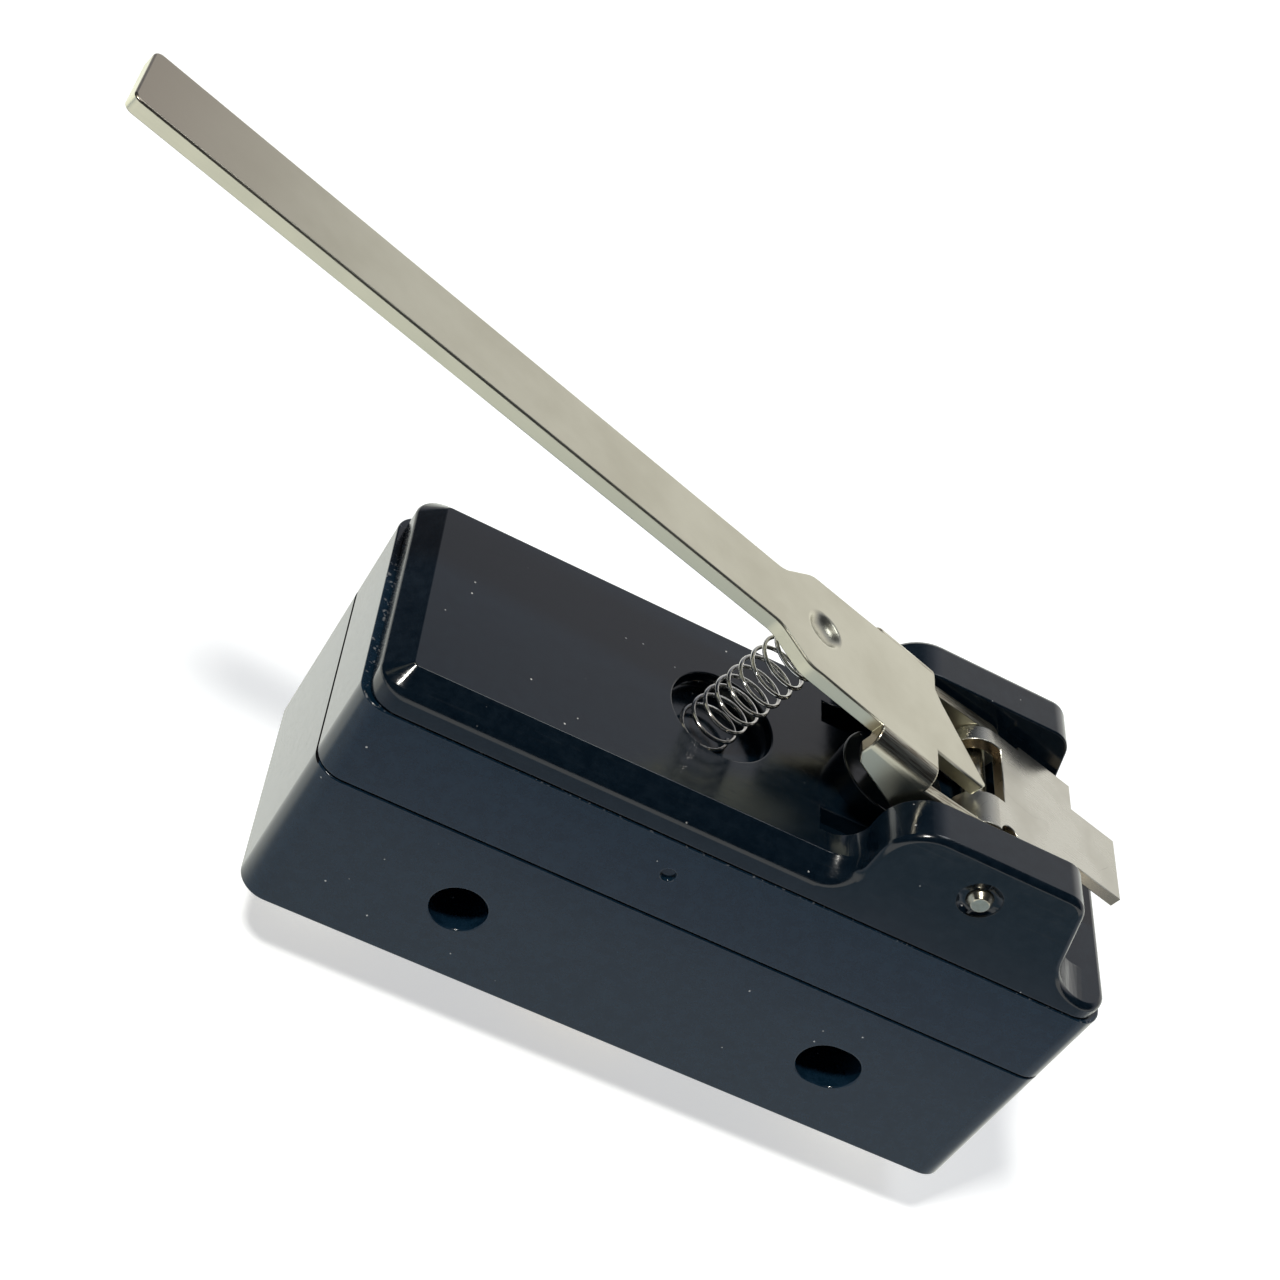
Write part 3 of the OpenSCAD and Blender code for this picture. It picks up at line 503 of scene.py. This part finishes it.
def moulded_material(name, deep, pale, gloss, mottle_size, dust, relief):
    """Dark moulding with a mottled satin face."""
    material, tree, shader, place = start_material(name)
    spot = parts_of(tree, place.outputs["Object"])
    skin = put(tree, "ShaderNodeGroup", {"node_tree": MOULDED},
               {"Vector": place.outputs["Object"], "Mottle Size": mottle_size, "Dust": dust})
    # Painted shade in the seam: black, rough and without shine.
    seam_shade = painted_seam_shade(tree, spot)
    body = blend_colours(tree, skin.outputs["Mottle"], deep, pale)
    # Paler dashes: chip marks with painted highlights.
    chip_highlighted = blend_colours(tree, chip_highlights(tree, place, spot), body, CHIP_HIGHLIGHT_TONE)
    dusty = blend_colours(tree, skin.outputs["Dust"], chip_highlighted, DUST_TONE)
    dull = math_node(tree, "MULTIPLY_ADD", skin.outputs["Marks"], MARK_DULL, gloss)
    satin = math_node(tree, "MULTIPLY_ADD", skin.outputs["Mottle"], MOTTLE_DULL, dull)
    rough = math_node(tree, "MULTIPLY_ADD", seam_shade, SEAM_SHADE_DULL, satin)
    shine = math_node(tree, "MULTIPLY_ADD", seam_shade, -PHENOLIC_SHINE, PHENOLIC_SHINE)
    tree.links.new(blend_colours(tree, seam_shade, dusty, SEAM_SHADE_TONE), shader.inputs["Base Color"])
    tree.links.new(shine, shader.inputs["Specular IOR Level"])
    tree.links.new(rough, shader.inputs["Roughness"])
    tree.links.new(relief_bump(tree, skin, relief), shader.inputs["Normal"])
    shader.inputs["IOR"].default_value = PHENOLIC_IOR
    return material


finishes = {name: moulded_material(name, **look) for name, look in MOULDINGS.items()}
print("mouldings", list(finishes))

# %% [markdown]
# The metal pieces share one recipe: a plated colour, clouded towards a second one, with roughness from cloud and
# grain. The lever's grain runs along the strip, which leans, so its coordinates are turned by the same angle.
# Stamped sheet also has a cut edge, which is creamier than its faces, and rubbed bends. The lever darkens towards
# its outer end as painted shade, where the light falls off along it; the leaf darkens a little at its end. Normal
# and place tell these apart, so no map has to be painted.

# %% Metal materials
LEVER_LEAN = math.radians(14.88)
LEAF_LEAN = math.radians(13.0)
RUBBED_TONE = (0.26, 0.22, 0.16)
SCRATCH_TONE = (0.16, 0.15, 0.14)
CLOUD_BAND = (0.35, 0.72)
GRAIN_ROUGH, CLOUD_ROUGH = 0.08, 0.06
BENT_BAND = (0.15, 0.5)
RUBBED_BAND = (0.42, 0.62)
CUT_BAND = (0.40, 0.20)
END_BAND = (0.75, 0.92)
# The lever's darker outer end is painted shade, where the light falls off; the leaf only darkens a little at its
# end.
LEVER_SHEET = dict(lean=-LEVER_LEAN, half_width=4.12, cut=(0.74, 0.72, 0.57),
                   tip=(0.42, 0.375, 0.31), tip_from=-20.0, tip_to=-38.0)
LEAF_SHEET = dict(lean=-LEAF_LEAN, half_width=5.0, cut=(0.46, 0.38, 0.28),
                  tip=(0.56, 0.55, 0.48), tip_from=33.0, tip_to=36.0)
METALS = {
    "lever_steel": dict(bright=(0.63, 0.615, 0.505), cloudy=(0.58, 0.56, 0.45), rough=0.30,
                        cloud_size=7.0, grain_length=2.5, relief=0.001, sheet=LEVER_SHEET),
    "leaf_steel": dict(bright=(0.61, 0.60, 0.535), cloudy=(0.555, 0.54, 0.47), rough=0.26,
                       cloud_size=4.0, grain_length=1.5, relief=0.001, wear=0.35, sheet=LEAF_SHEET),
    "pin_steel": dict(bright=(0.66, 0.62, 0.50), cloudy=(0.48, 0.44, 0.34), rough=0.22,
                      cloud_size=0.8, grain_length=0.4, relief=0.001),
    "spring_steel": dict(bright=(0.66, 0.65, 0.63), cloudy=(0.46, 0.45, 0.43), rough=0.12,
                         cloud_size=0.8, grain_length=0.4, relief=0.0005),
    "rivet_steel": dict(bright=(0.62, 0.61, 0.58), cloudy=(0.50, 0.49, 0.46), rough=0.28,
                        cloud_size=1.0, grain_length=0.5, relief=0.001),
    "screw_steel": dict(bright=(0.68, 0.66, 0.61), cloudy=(0.56, 0.54, 0.49), rough=0.26,
                        cloud_size=1.2, grain_length=0.5, relief=0.001),
    "terminal_brass": dict(bright=(0.75, 0.56, 0.25), cloudy=(0.58, 0.40, 0.17), rough=0.28,
                           cloud_size=1.5, grain_length=0.6, relief=0.001),
    "blade_copper": dict(bright=(0.80, 0.46, 0.25), cloudy=(0.64, 0.34, 0.17), rough=0.24,
                         cloud_size=2.0, grain_length=1.0, relief=0.001),
    "contact_silver": dict(bright=(0.88, 0.87, 0.84), cloudy=(0.74, 0.73, 0.70), rough=0.20,
                           cloud_size=1.0, grain_length=0.5, relief=0.001),
}


def facing(tree, place, direction):
    """Gives how squarely a surface looks along a direction or against it."""
    node = put(tree, "ShaderNodeVectorMath", {"operation": "DOT_PRODUCT"},
               {0: place.outputs["Normal"], 1: direction})
    return math_node(tree, "ABSOLUTE", node.outputs["Value"])


def sheet_colour(tree, place, grain, colour, sheet):
    """Colours the painted shade towards the outer end, the rubbed bends and the cut edges of a sheet that leans.
    """
    lean = sheet["lean"]
    level = facing(tree, place, Vector((-math.sin(lean), 0.0, math.cos(lean))))
    ended = facing(tree, place, Vector((math.cos(lean), 0.0, math.sin(lean))))
    spot = parts_of(tree, place.outputs["Object"])
    off_middle = math_node(tree, "ABSOLUTE", spot["Y"])
    inside = math_node(tree, "LESS_THAN", off_middle, sheet["half_width"] * MM)
    outside = math_node(tree, "SUBTRACT", 1.0, inside)
    # Painted shade towards the outer end of the lever.
    tip = smooth_step(tree, spot["X"], sheet["tip_from"] * MM, sheet["tip_to"] * MM)
    colour = blend_colours(tree, tip, colour, sheet["tip"])
    bent = math_node(tree, "MULTIPLY", outside, smooth_step(tree, level, *BENT_BAND))
    rubbed = math_node(tree, "MULTIPLY", bent, smooth_step(tree, grain, *RUBBED_BAND))
    colour = blend_colours(tree, rubbed, colour, RUBBED_TONE)
    side = math_node(tree, "MULTIPLY", inside, smooth_step(tree, level, *CUT_BAND))
    colour = blend_colours(tree, side, colour, sheet["cut"])
    burnt = math_node(tree, "MULTIPLY", outside, smooth_step(tree, ended, *END_BAND))
    return blend_colours(tree, burnt, colour, RUBBED_TONE)


def plated_material(name, bright, cloudy, rough, cloud_size, grain_length, relief, wear=0.0, sheet=None):
    """Plated metal with clouds, grain and scratches, and a cut edge where it is sheet."""
    material, tree, shader, place = start_material(name)
    lean = sheet["lean"] if sheet else 0.0
    turned = put(tree, "ShaderNodeMapping", None,
                 {"Vector": place.outputs["Object"], "Rotation": (0.0, lean, 0.0)})
    skin = put(tree, "ShaderNodeGroup", {"node_tree": PLATED},
               {"Vector": turned.outputs[0], "Cloud Size": cloud_size, "Grain Length": grain_length})
    cloud = smooth_step(tree, skin.outputs["Cloud"], *CLOUD_BAND)
    colour = blend_colours(tree, cloud, bright, cloudy)
    if sheet:
        colour = sheet_colour(tree, place, skin.outputs["Grain"], colour, sheet)
    scratch = math_node(tree, "MULTIPLY", skin.outputs["Scratch"], wear)
    least = rough - GRAIN_ROUGH / 2
    grained = math_node(tree, "MULTIPLY_ADD", skin.outputs["Grain"], GRAIN_ROUGH, least)
    clouded = math_node(tree, "MULTIPLY_ADD", cloud, CLOUD_ROUGH, grained)
    tree.links.new(blend_colours(tree, scratch, colour, SCRATCH_TONE), shader.inputs["Base Color"])
    tree.links.new(clouded, shader.inputs["Roughness"])
    tree.links.new(relief_bump(tree, skin, relief), shader.inputs["Normal"])
    shader.inputs["Metallic"].default_value = 1.0
    return material


finishes.update({name: plated_material(name, **look) for name, look in METALS.items()})
print("metals", list(METALS))

# %% [markdown]
# Moulded and stamped edges are never quite sharp, and it is the small round on an edge that catches
# the light. The CAD solids have sharp edges, so each piece that shows is copied, its split corners
# are joined, and a Bevel modifier rounds the outer edges. The radius is written as an edge weight,
# because the rim that runs round the housing and over its ears is much rounder than the rest. A flat
# face with a hole is first cut through the middle of the hole, which gives the bevel clean faces, and
# normals weighted by area keep the flat faces flat. In each ear of the housing two walls only touch.
# Joining closes that slit, and what is left of its walls is taken out.

# %% Helpers for softened copies
WIDEST = 0.5
STEPS = 3
SHARP = math.radians(30)
FLAT = math.radians(0.2)
FLAT_WEIGHT = 90
SAME_PLACE = 0.001
NO_LENGTH = 0.0001


def join_corners(shape):
    """Joins corners that lie at the same place."""
    bmesh.ops.remove_doubles(shape, verts=shape.verts, dist=SAME_PLACE * MM)


def make_flat(shape):
    """Joins faces that lie in one plane, but not across a cut."""
    bmesh.ops.dissolve_limit(
        shape, angle_limit=FLAT, verts=shape.verts, edges=shape.edges, delimit={"SEAM"})


def cut_across(shape, place, across):
    """Cuts a shape by a plane and marks the cut as a seam."""
    whole = [*shape.verts, *shape.edges, *shape.faces]
    made = bmesh.ops.bisect_plane(
        shape, geom=whole, plane_co=place * MM, plane_no=across, dist=NO_LENGTH * MM)
    for item in made["geom_cut"]:
        if isinstance(item, bmesh.types.BMEdge):
            item.seam = True


def close_slits(shape):
    """Takes out the walls with a free edge that are left where joining closed a slit of no width."""
    walls = [face for face in shape.faces if any(edge.is_boundary for edge in face.edges)]
    bmesh.ops.delete(shape, geom=walls, context="FACES")


def joined_copy(name, cuts=()):
    """Gives the shape of a node with its corners joined and its flat faces whole but for the cuts."""
    shape = bmesh.new()
    shape.from_mesh(nodes[name].data)
    join_corners(shape)
    bmesh.ops.dissolve_degenerate(shape, edges=shape.edges, dist=NO_LENGTH * MM)
    for place, across in cuts:
        cut_across(shape, place, across)
    join_corners(shape)
    make_flat(shape)
    close_slits(shape)
    make_flat(shape)
    return shape


def plain_mesh(piece):
    """Turns what the modifiers of a piece make into its own plain mesh."""
    graph = bpy.context.evaluated_depsgraph_get()
    mesh = bpy.data.meshes.new_from_object(piece.evaluated_get(graph))
    piece.modifiers.clear()
    piece.data = mesh
    return piece


def softened(name, shape, radius_at):
    """Makes an object of a shape and rounds its outer edges by radius_at(middle in mm)."""
    weight = shape.edges.layers.float.new("bevel_weight_edge")
    for edge in shape.edges:
        if edge.is_manifold and edge.calc_face_angle_signed(0.0) > SHARP:
            middle = (edge.verts[0].co + edge.verts[1].co) / 2 / MM
            edge[weight] = radius_at(middle) / WIDEST
    for face in shape.faces:
        face.smooth = True
    mesh = bpy.data.meshes.new(name)
    shape.to_mesh(mesh)
    shape.free()
    mesh.set_sharp_from_angle(angle=SHARP)
    piece = bpy.data.objects.new(name, mesh)
    bpy.context.scene.collection.objects.link(piece)
    bevel = piece.modifiers.new("edges", "BEVEL")
    bevel.limit_method = "WEIGHT"
    bevel.width = WIDEST * MM
    bevel.segments = STEPS
    bevel.use_clamp_overlap = False
    bevel.loop_slide = False
    bevel.miter_outer = "MITER_ARC"
    normals = piece.modifiers.new("normals", "WEIGHTED_NORMAL")
    normals.weight = FLAT_WEIGHT
    normals.keep_sharp = True
    return plain_mesh(piece)


def stand_in(piece, node, body, material):
    """Lets a finished piece stand for a node and move with its body."""
    piece.data.materials.clear()
    piece.data.materials.append(material)
    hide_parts(node)
    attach(piece, body)


print("bevel of", STEPS, "steps, widest", WIDEST, "mm")

# %% [markdown]
# An edge is told from its neighbours by where it lies: on the rim, on the foot or round the pin. The
# rules could hold coordinates read off the screen. Here the places come from the frame, that is from
# the hinge, the fixing slot and the box of the cover, and from a few sizes that the frame doesn't name.

# %% Work out places on the pieces
X, Y, Z = Vector((1, 0, 0)), Vector((0, 1, 0)), Vector((0, 0, 1))
CENTRE = Vector((0, 0, 0))
SLOT = to_mm(mounts["fixing_slot"]["pos_m"])
HINGE = to_mm(joints["lever_hinge"]["pos_m"])
ALONG = Vector((-math.cos(LEVER_LEAN), 0.0, math.sin(LEVER_LEAN)))
UP = Vector((math.sin(LEVER_LEAN), 0.0, math.cos(LEVER_LEAN)))
SEAT_ALONG = 15.4
SEAT = HINGE + SEAT_ALONG * ALONG
LEFT_OF_HOLE_X, POCKET_X, STEM_X = -8.0, 9.1, 20.1
BAND_HIGH, BEVEL_HIGH, FOOT_HIGH = 1.62, 1.12, 1.24
BEVEL_FOOT = cover_high.z + BAND_HIGH
PLATEAU = BEVEL_FOOT + BEVEL_HIGH
FOOT_TOP = cover_high.z + FOOT_HIGH
FILLET_TOP = 15.2477  # where the fillets on the foot touch the backs of the ears
EAR_THICK = 3.15
EAR_INSIDE = cover_high.y - EAR_THICK
print("hinge at", [round(x, 2) for x in HINGE], "mm, plateau at", round(PLATEAU, 2), "mm")

# %% [markdown]
# The case layers and the sheet pieces all take the same path. Only the rule for the radius differs:
# the housing has one broad round along its whole outer rim, from the bevel over the ears to the end
# foot, and is crisp at its left end and elsewhere. The lever is rounder on its top, where the punch
# went in. A radius changes only at corners or by small steps, or else the bevel would fold over.

# %% Soften the pieces that show
# First the radii, then limits that tell one edge from another, all in millimetres.
HAIR, FINE, SLIGHT, CRISP, PUNCHED, BROAD = 0.04, 0.05, 0.06, 0.10, 0.13, 0.38
NEAR = 0.05  # how far off a level an edge may lie
SIDE = cover_high.y - 3 * NEAR  # just inside the outer faces
LEFT_END = cover_low.x
LEFT_RUN = 2.0  # length over which the round grows from the left end
RING_REACH = 1.7  # beyond the ring round the pin
PLATEAU_SIDE = 7.0  # just inside the plateau's long edges
PLATEAU_END = -9.5  # just right of the plateau's left edge
SWEEP_FROM = 14.0  # left of where the bevel sweeps up
EAR_FRONT = 18.4  # just right of the front of the ears
FOOT_FROM = 35.0  # where the fillets run out on the foot
RIM_LOW = 12.8  # just under the top of the foot
UNDER_TOP = 2.2  # above the pin, just under the strip's upper face
HUB_REACH = 2.0  # along the strip, past the hub on the pin
IN_CHEEK = 4.55  # between the two faces of a cheek


def even(radius):
    """Gives the rule that rounds all edges alike."""
    return lambda p: radius


def housing_round(p):
    """Radius of the housing's edges, in millimetres."""
    off_middle = abs(p.y)
    if math.hypot(p.x - HINGE.x, p.z - HINGE.z) < RING_REACH:
        return HAIR
    if p.z > PLATEAU - NEAR and p.x < EAR_FRONT and PLATEAU_SIDE < off_middle < SIDE:
        return FINE
    if abs(p.z - PLATEAU) < NEAR and p.x < PLATEAU_END:
        return FINE
    if abs(p.z - BEVEL_FOOT) < NEAR and p.x < SWEEP_FROM:
        share = min(1.0, max(0.0, (p.x - LEFT_END) / LEFT_RUN))
        return SLIGHT + (BROAD - SLIGHT) * share
    if off_middle > SIDE and p.z > RIM_LOW:
        return BROAD
    on_foot = abs(p.z - FOOT_TOP) < NEAR and p.x > FOOT_FROM
    return BROAD if on_foot and abs(off_middle - EAR_INSIDE) > 2 * NEAR else CRISP


def lever_round(p):
    """Radius of the lever's edges, in millimetres."""
    from_pin = p - HINGE
    on_top = from_pin.dot(UP) > UNDER_TOP and from_pin.dot(ALONG) > HUB_REACH
    return PUNCHED if on_top or abs(p.y) > IN_CHEEK else FINE


SOFT = {
    "base_case": ("case", "case_phenolic", "case_phenolic", even(CRISP)),
    "case_cover": ("case", "case_phenolic", "case_phenolic", even(CRISP)),
    "lever_housing": ("case", "case_phenolic", "housing_phenolic", housing_round),
    "hinge_pin": ("case", "pin_steel", "pin_steel", even(FINE)),
    "lever": ("lever_arm", "lever_steel", "lever_steel", lever_round),
    "tail_leaf": ("lever_arm", "leaf_steel", "leaf_steel", even(SLIGHT)),
    "plunger": ("push_rod", "plunger_phenolic", "plunger_phenolic", even(CRISP)),
}
# The housing's last cut meets the upper end of the slit in the ears.
CUTS = {
    "base_case": [(CENTRE, X), (SLOT, X), (CENTRE, Z), (LEFT_OF_HOLE_X * X, X)],
    "lever_housing": [(HINGE, X), (HINGE, Z), (CENTRE, Y), (POCKET_X * X, X), (STEM_X * X, X),
                      (FILLET_TOP * Z, Z)],
    "lever": [(CENTRE, Y), (SEAT, ALONG), (HINGE, ALONG), (HINGE, UP)],
    "tail_leaf": [(CENTRE, Y)],
}
for name, (body, slot, finish, radius_at) in SOFT.items():
    piece = softened(name + "_soft", joined_copy(name, CUTS.get(name, ())), radius_at)
    stand_in(piece, name, body, finishes[finish])
    print(piece.name, len(piece.data.vertices), "vertices")

# %% [markdown]
# The return spring is a wire wound at an even pitch, with flat end turns. Its foot stands in the
# round pocket and its top lies square against the leaning lever, so the turns shift and tilt on the
# way up. A Geometry Nodes tree does just that: a spiral curve is moved by its own height and swept
# with a round wire.

# %% Wind the return spring
STRIP_UNDER = 1.44
POCKET_FLOOR = joints["lever_hinge"]["deforming_nodes"][0]["fixed_end_z_m"] / MM
COIL_R = 1.62
WIRE_R = 0.13
TURNS = 10.0
FLAT_TURNS = 0.3
SKEW = 1.9
PLAY = 0.05
STEPS_A_TURN = 40
WIRE_SIDES = 12


def finish_tree(tree, start, end, last):
    """Ends a tree with whole geometry in its material."""
    whole = put(tree, "GeometryNodeRealizeInstances", None, {0: last.outputs[0]})
    dressed = put(tree, "GeometryNodeSetMaterial", None,
                  {"Geometry": whole.outputs[0], "Material": start.outputs["Material"]})
    return finish_group(tree, end, {"Geometry": dressed.outputs[0]})


def spring_tree():
    """Tree that winds a spring whose top is shifted and tilted."""
    tree, start, end = start_group(
        "wound_spring", "GeometryNodeTree",
        [("Foot", "NodeSocketVector", None), ("Turns", "NodeSocketFloat", 8.0),
         ("Radius", "NodeSocketFloat", 0.002), ("Height", "NodeSocketFloat", 0.01),
         ("Wire", "NodeSocketFloat", 0.0001), ("Skew", "NodeSocketFloat", 0.0),
         ("Tilt", "NodeSocketFloat", 0.0), ("Flat Turns", "NodeSocketFloat", 0.6),
         ("Material", "NodeSocketMaterial", None)],
        [("Geometry", "NodeSocketGeometry")])
    spiral = put(tree, "GeometryNodeCurveSpiral", None,
                 {"Resolution": STEPS_A_TURN, "Rotations": start.outputs["Turns"],
                  "Start Radius": start.outputs["Radius"], "End Radius": start.outputs["Radius"],
                  "Height": 0.0})
    share = put(tree, "GeometryNodeSplineParameter").outputs["Factor"]
    flat = math_node(tree, "DIVIDE", start.outputs["Flat Turns"], start.outputs["Turns"])
    rest = math_node(tree, "SUBTRACT", 1.0, flat)
    climb = put(tree, "ShaderNodeMapRange", None,
                {"Value": share, "From Min": flat, "From Max": rest}).outputs["Result"]
    place = parts_of(tree, put(tree, "GeometryNodeInputPosition").outputs[0])
    aside = math_node(tree, "MULTIPLY", start.outputs["Skew"], climb)
    tilted = math_node(tree, "MULTIPLY", place["X"], start.outputs["Tilt"])
    leaning = math_node(tree, "MULTIPLY", tilted, climb)
    rise = math_node(tree, "MULTIPLY", start.outputs["Height"], climb)
    moved = put(tree, "ShaderNodeCombineXYZ", None,
                {0: aside, 2: math_node(tree, "SUBTRACT", rise, leaning)})
    path = put(tree, "GeometryNodeSetPosition", None,
               {"Geometry": spiral.outputs[0], "Offset": moved.outputs[0]})
    ring = put(tree, "GeometryNodeCurvePrimitiveCircle", None,
               {"Resolution": WIRE_SIDES, "Radius": start.outputs["Wire"]})
    wire = put(tree, "GeometryNodeCurveToMesh", None,
               {"Curve": path.outputs[0], "Profile Curve": ring.outputs[0], "Fill Caps": True})
    smooth = put(tree, "GeometryNodeSetShadeSmooth", None, {"Geometry": wire.outputs[0]})
    placed = put(tree, "GeometryNodeTransform", None,
                 {"Geometry": smooth.outputs[0], "Translation": start.outputs["Foot"]})
    return finish_tree(tree, start, end, placed)


def grown(name, mesh, tree, values):
    """Runs a Geometry Nodes tree on a new object and keeps the result as a plain mesh."""
    piece = bpy.data.objects.new(name, mesh)
    bpy.context.scene.collection.objects.link(piece)
    run = piece.modifiers.new("grow", "NODES")
    run.node_group = tree
    inputs = [item for item in tree.interface.items_tree if item.in_out == "INPUT"]
    sockets = {item.name: item.identifier for item in inputs}
    for label, value in values.items():
        run[sockets[label]] = value
    return plain_mesh(piece)


seat = SEAT + STRIP_UNDER * UP
lift = WIRE_R + PLAY
foot = Vector((seat.x - SKEW, 0.0, POCKET_FLOOR + lift))
height = seat.z - lift / math.cos(LEVER_LEAN) - foot.z
spring = grown("wound_spring", bpy.data.meshes.new("wound_spring"), spring_tree(), {
    "Foot": foot * MM, "Turns": TURNS, "Radius": COIL_R * MM, "Height": height * MM, "Wire": WIRE_R * MM,
    "Skew": SKEW * MM, "Tilt": math.tan(LEVER_LEAN), "Flat Turns": FLAT_TURNS,
    "Material": finishes["spring_steel"]})
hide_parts("return_spring")
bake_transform(spring)
print("spring", len(spring.data.vertices), "vertices, height in mm", round(height, 2))

# %% [markdown]
# Screws, cup washers and rivets repeat. One of each is cut out of the CAD node, softened, and set on
# the places of all its fellows by a second Geometry Nodes tree, so that a change to one shows on all.


# %% Set the fasteners
def fastener_tree():
    """Tree that sets one piece on every point of a mesh."""
    tree, start, end = start_group(
        "fastener_row", "GeometryNodeTree",
        [("Places", "NodeSocketGeometry", None), ("Piece", "NodeSocketObject", None),
         ("Material", "NodeSocketMaterial", None)],
        [("Geometry", "NodeSocketGeometry")])
    piece = put(tree, "GeometryNodeObjectInfo", None, {"Object": start.outputs["Piece"]})
    row = put(tree, "GeometryNodeInstanceOnPoints", None,
              {"Points": start.outputs["Places"], "Instance": piece.outputs["Geometry"]})
    return finish_tree(tree, start, end, row)


def islands_of(shape):
    """Gives the corners of each connected part of a shape."""
    left = set(shape.verts)
    islands = []
    for first in shape.verts:
        island = []
        to_visit = [first] if first in left else []
        left -= set(to_visit)
        while to_visit:
            vert = to_visit.pop()
            island.append(vert)
            near = [edge.other_vert(vert) for edge in vert.link_edges]
            to_visit += [other for other in near if other in left]
            left -= set(near)
        if island:
            islands.append(island)
    return islands


def first_alike(name):
    """Gives the first of a node's equal solids and how far each of them lies from it."""
    shape = joined_copy(name)
    islands = islands_of(shape)
    lows = [Vector(min(vert.co[k] for vert in island) for k in range(3)) for island in islands]
    others = [vert for island in islands[1:] for vert in island]
    bmesh.ops.delete(shape, geom=others, context="VERTS")
    return shape, [low - lows[0] for low in lows]


SET_ON_PLACES = fastener_tree()
FASTENERS = {
    "terminal_screws": ("screw_steel", 0.16),
    "cup_washers": ("terminal_brass", 0.10),
    "case_rivets": ("rivet_steel", 0.12),
}
for name, (finish, radius) in FASTENERS.items():
    shape, offsets = first_alike(name)
    pattern = softened(name + "_pattern", shape, even(radius))
    places = bpy.data.meshes.new(name + "_set")
    places.from_pydata(offsets, [], [])
    material = finishes[finish]
    piece = grown(name + "_set", places, SET_ON_PLACES, {"Piece": pattern, "Material": material})
    bpy.data.objects.remove(pattern)
    stand_in(piece, name, "case", material)
    print(piece.name, "on", len(offsets), "places")

# %% [markdown]
# The parts inside the case keep their own meshes. They are hardly seen, so each only gets its
# finish, by name.

# %% Finish the parts inside
INSIDE = {
    "snap_blade": "blade_copper",
    "moving_contact": "contact_silver",
    "blade_rivet": "terminal_brass",
    "bow_anvil": "terminal_brass",
    "common_terminal": "terminal_brass",
    "normally_open_terminal": "terminal_brass",
    "normally_closed_terminal": "terminal_brass",
    "normally_open_contact": "contact_silver",
    "normally_closed_contact": "contact_silver",
}
for name, finish in INSIDE.items():
    mesh = nodes[name].data
    mesh.materials.clear()
    mesh.materials.append(finishes[finish])
print("finished", len(INSIDE), "nodes inside")
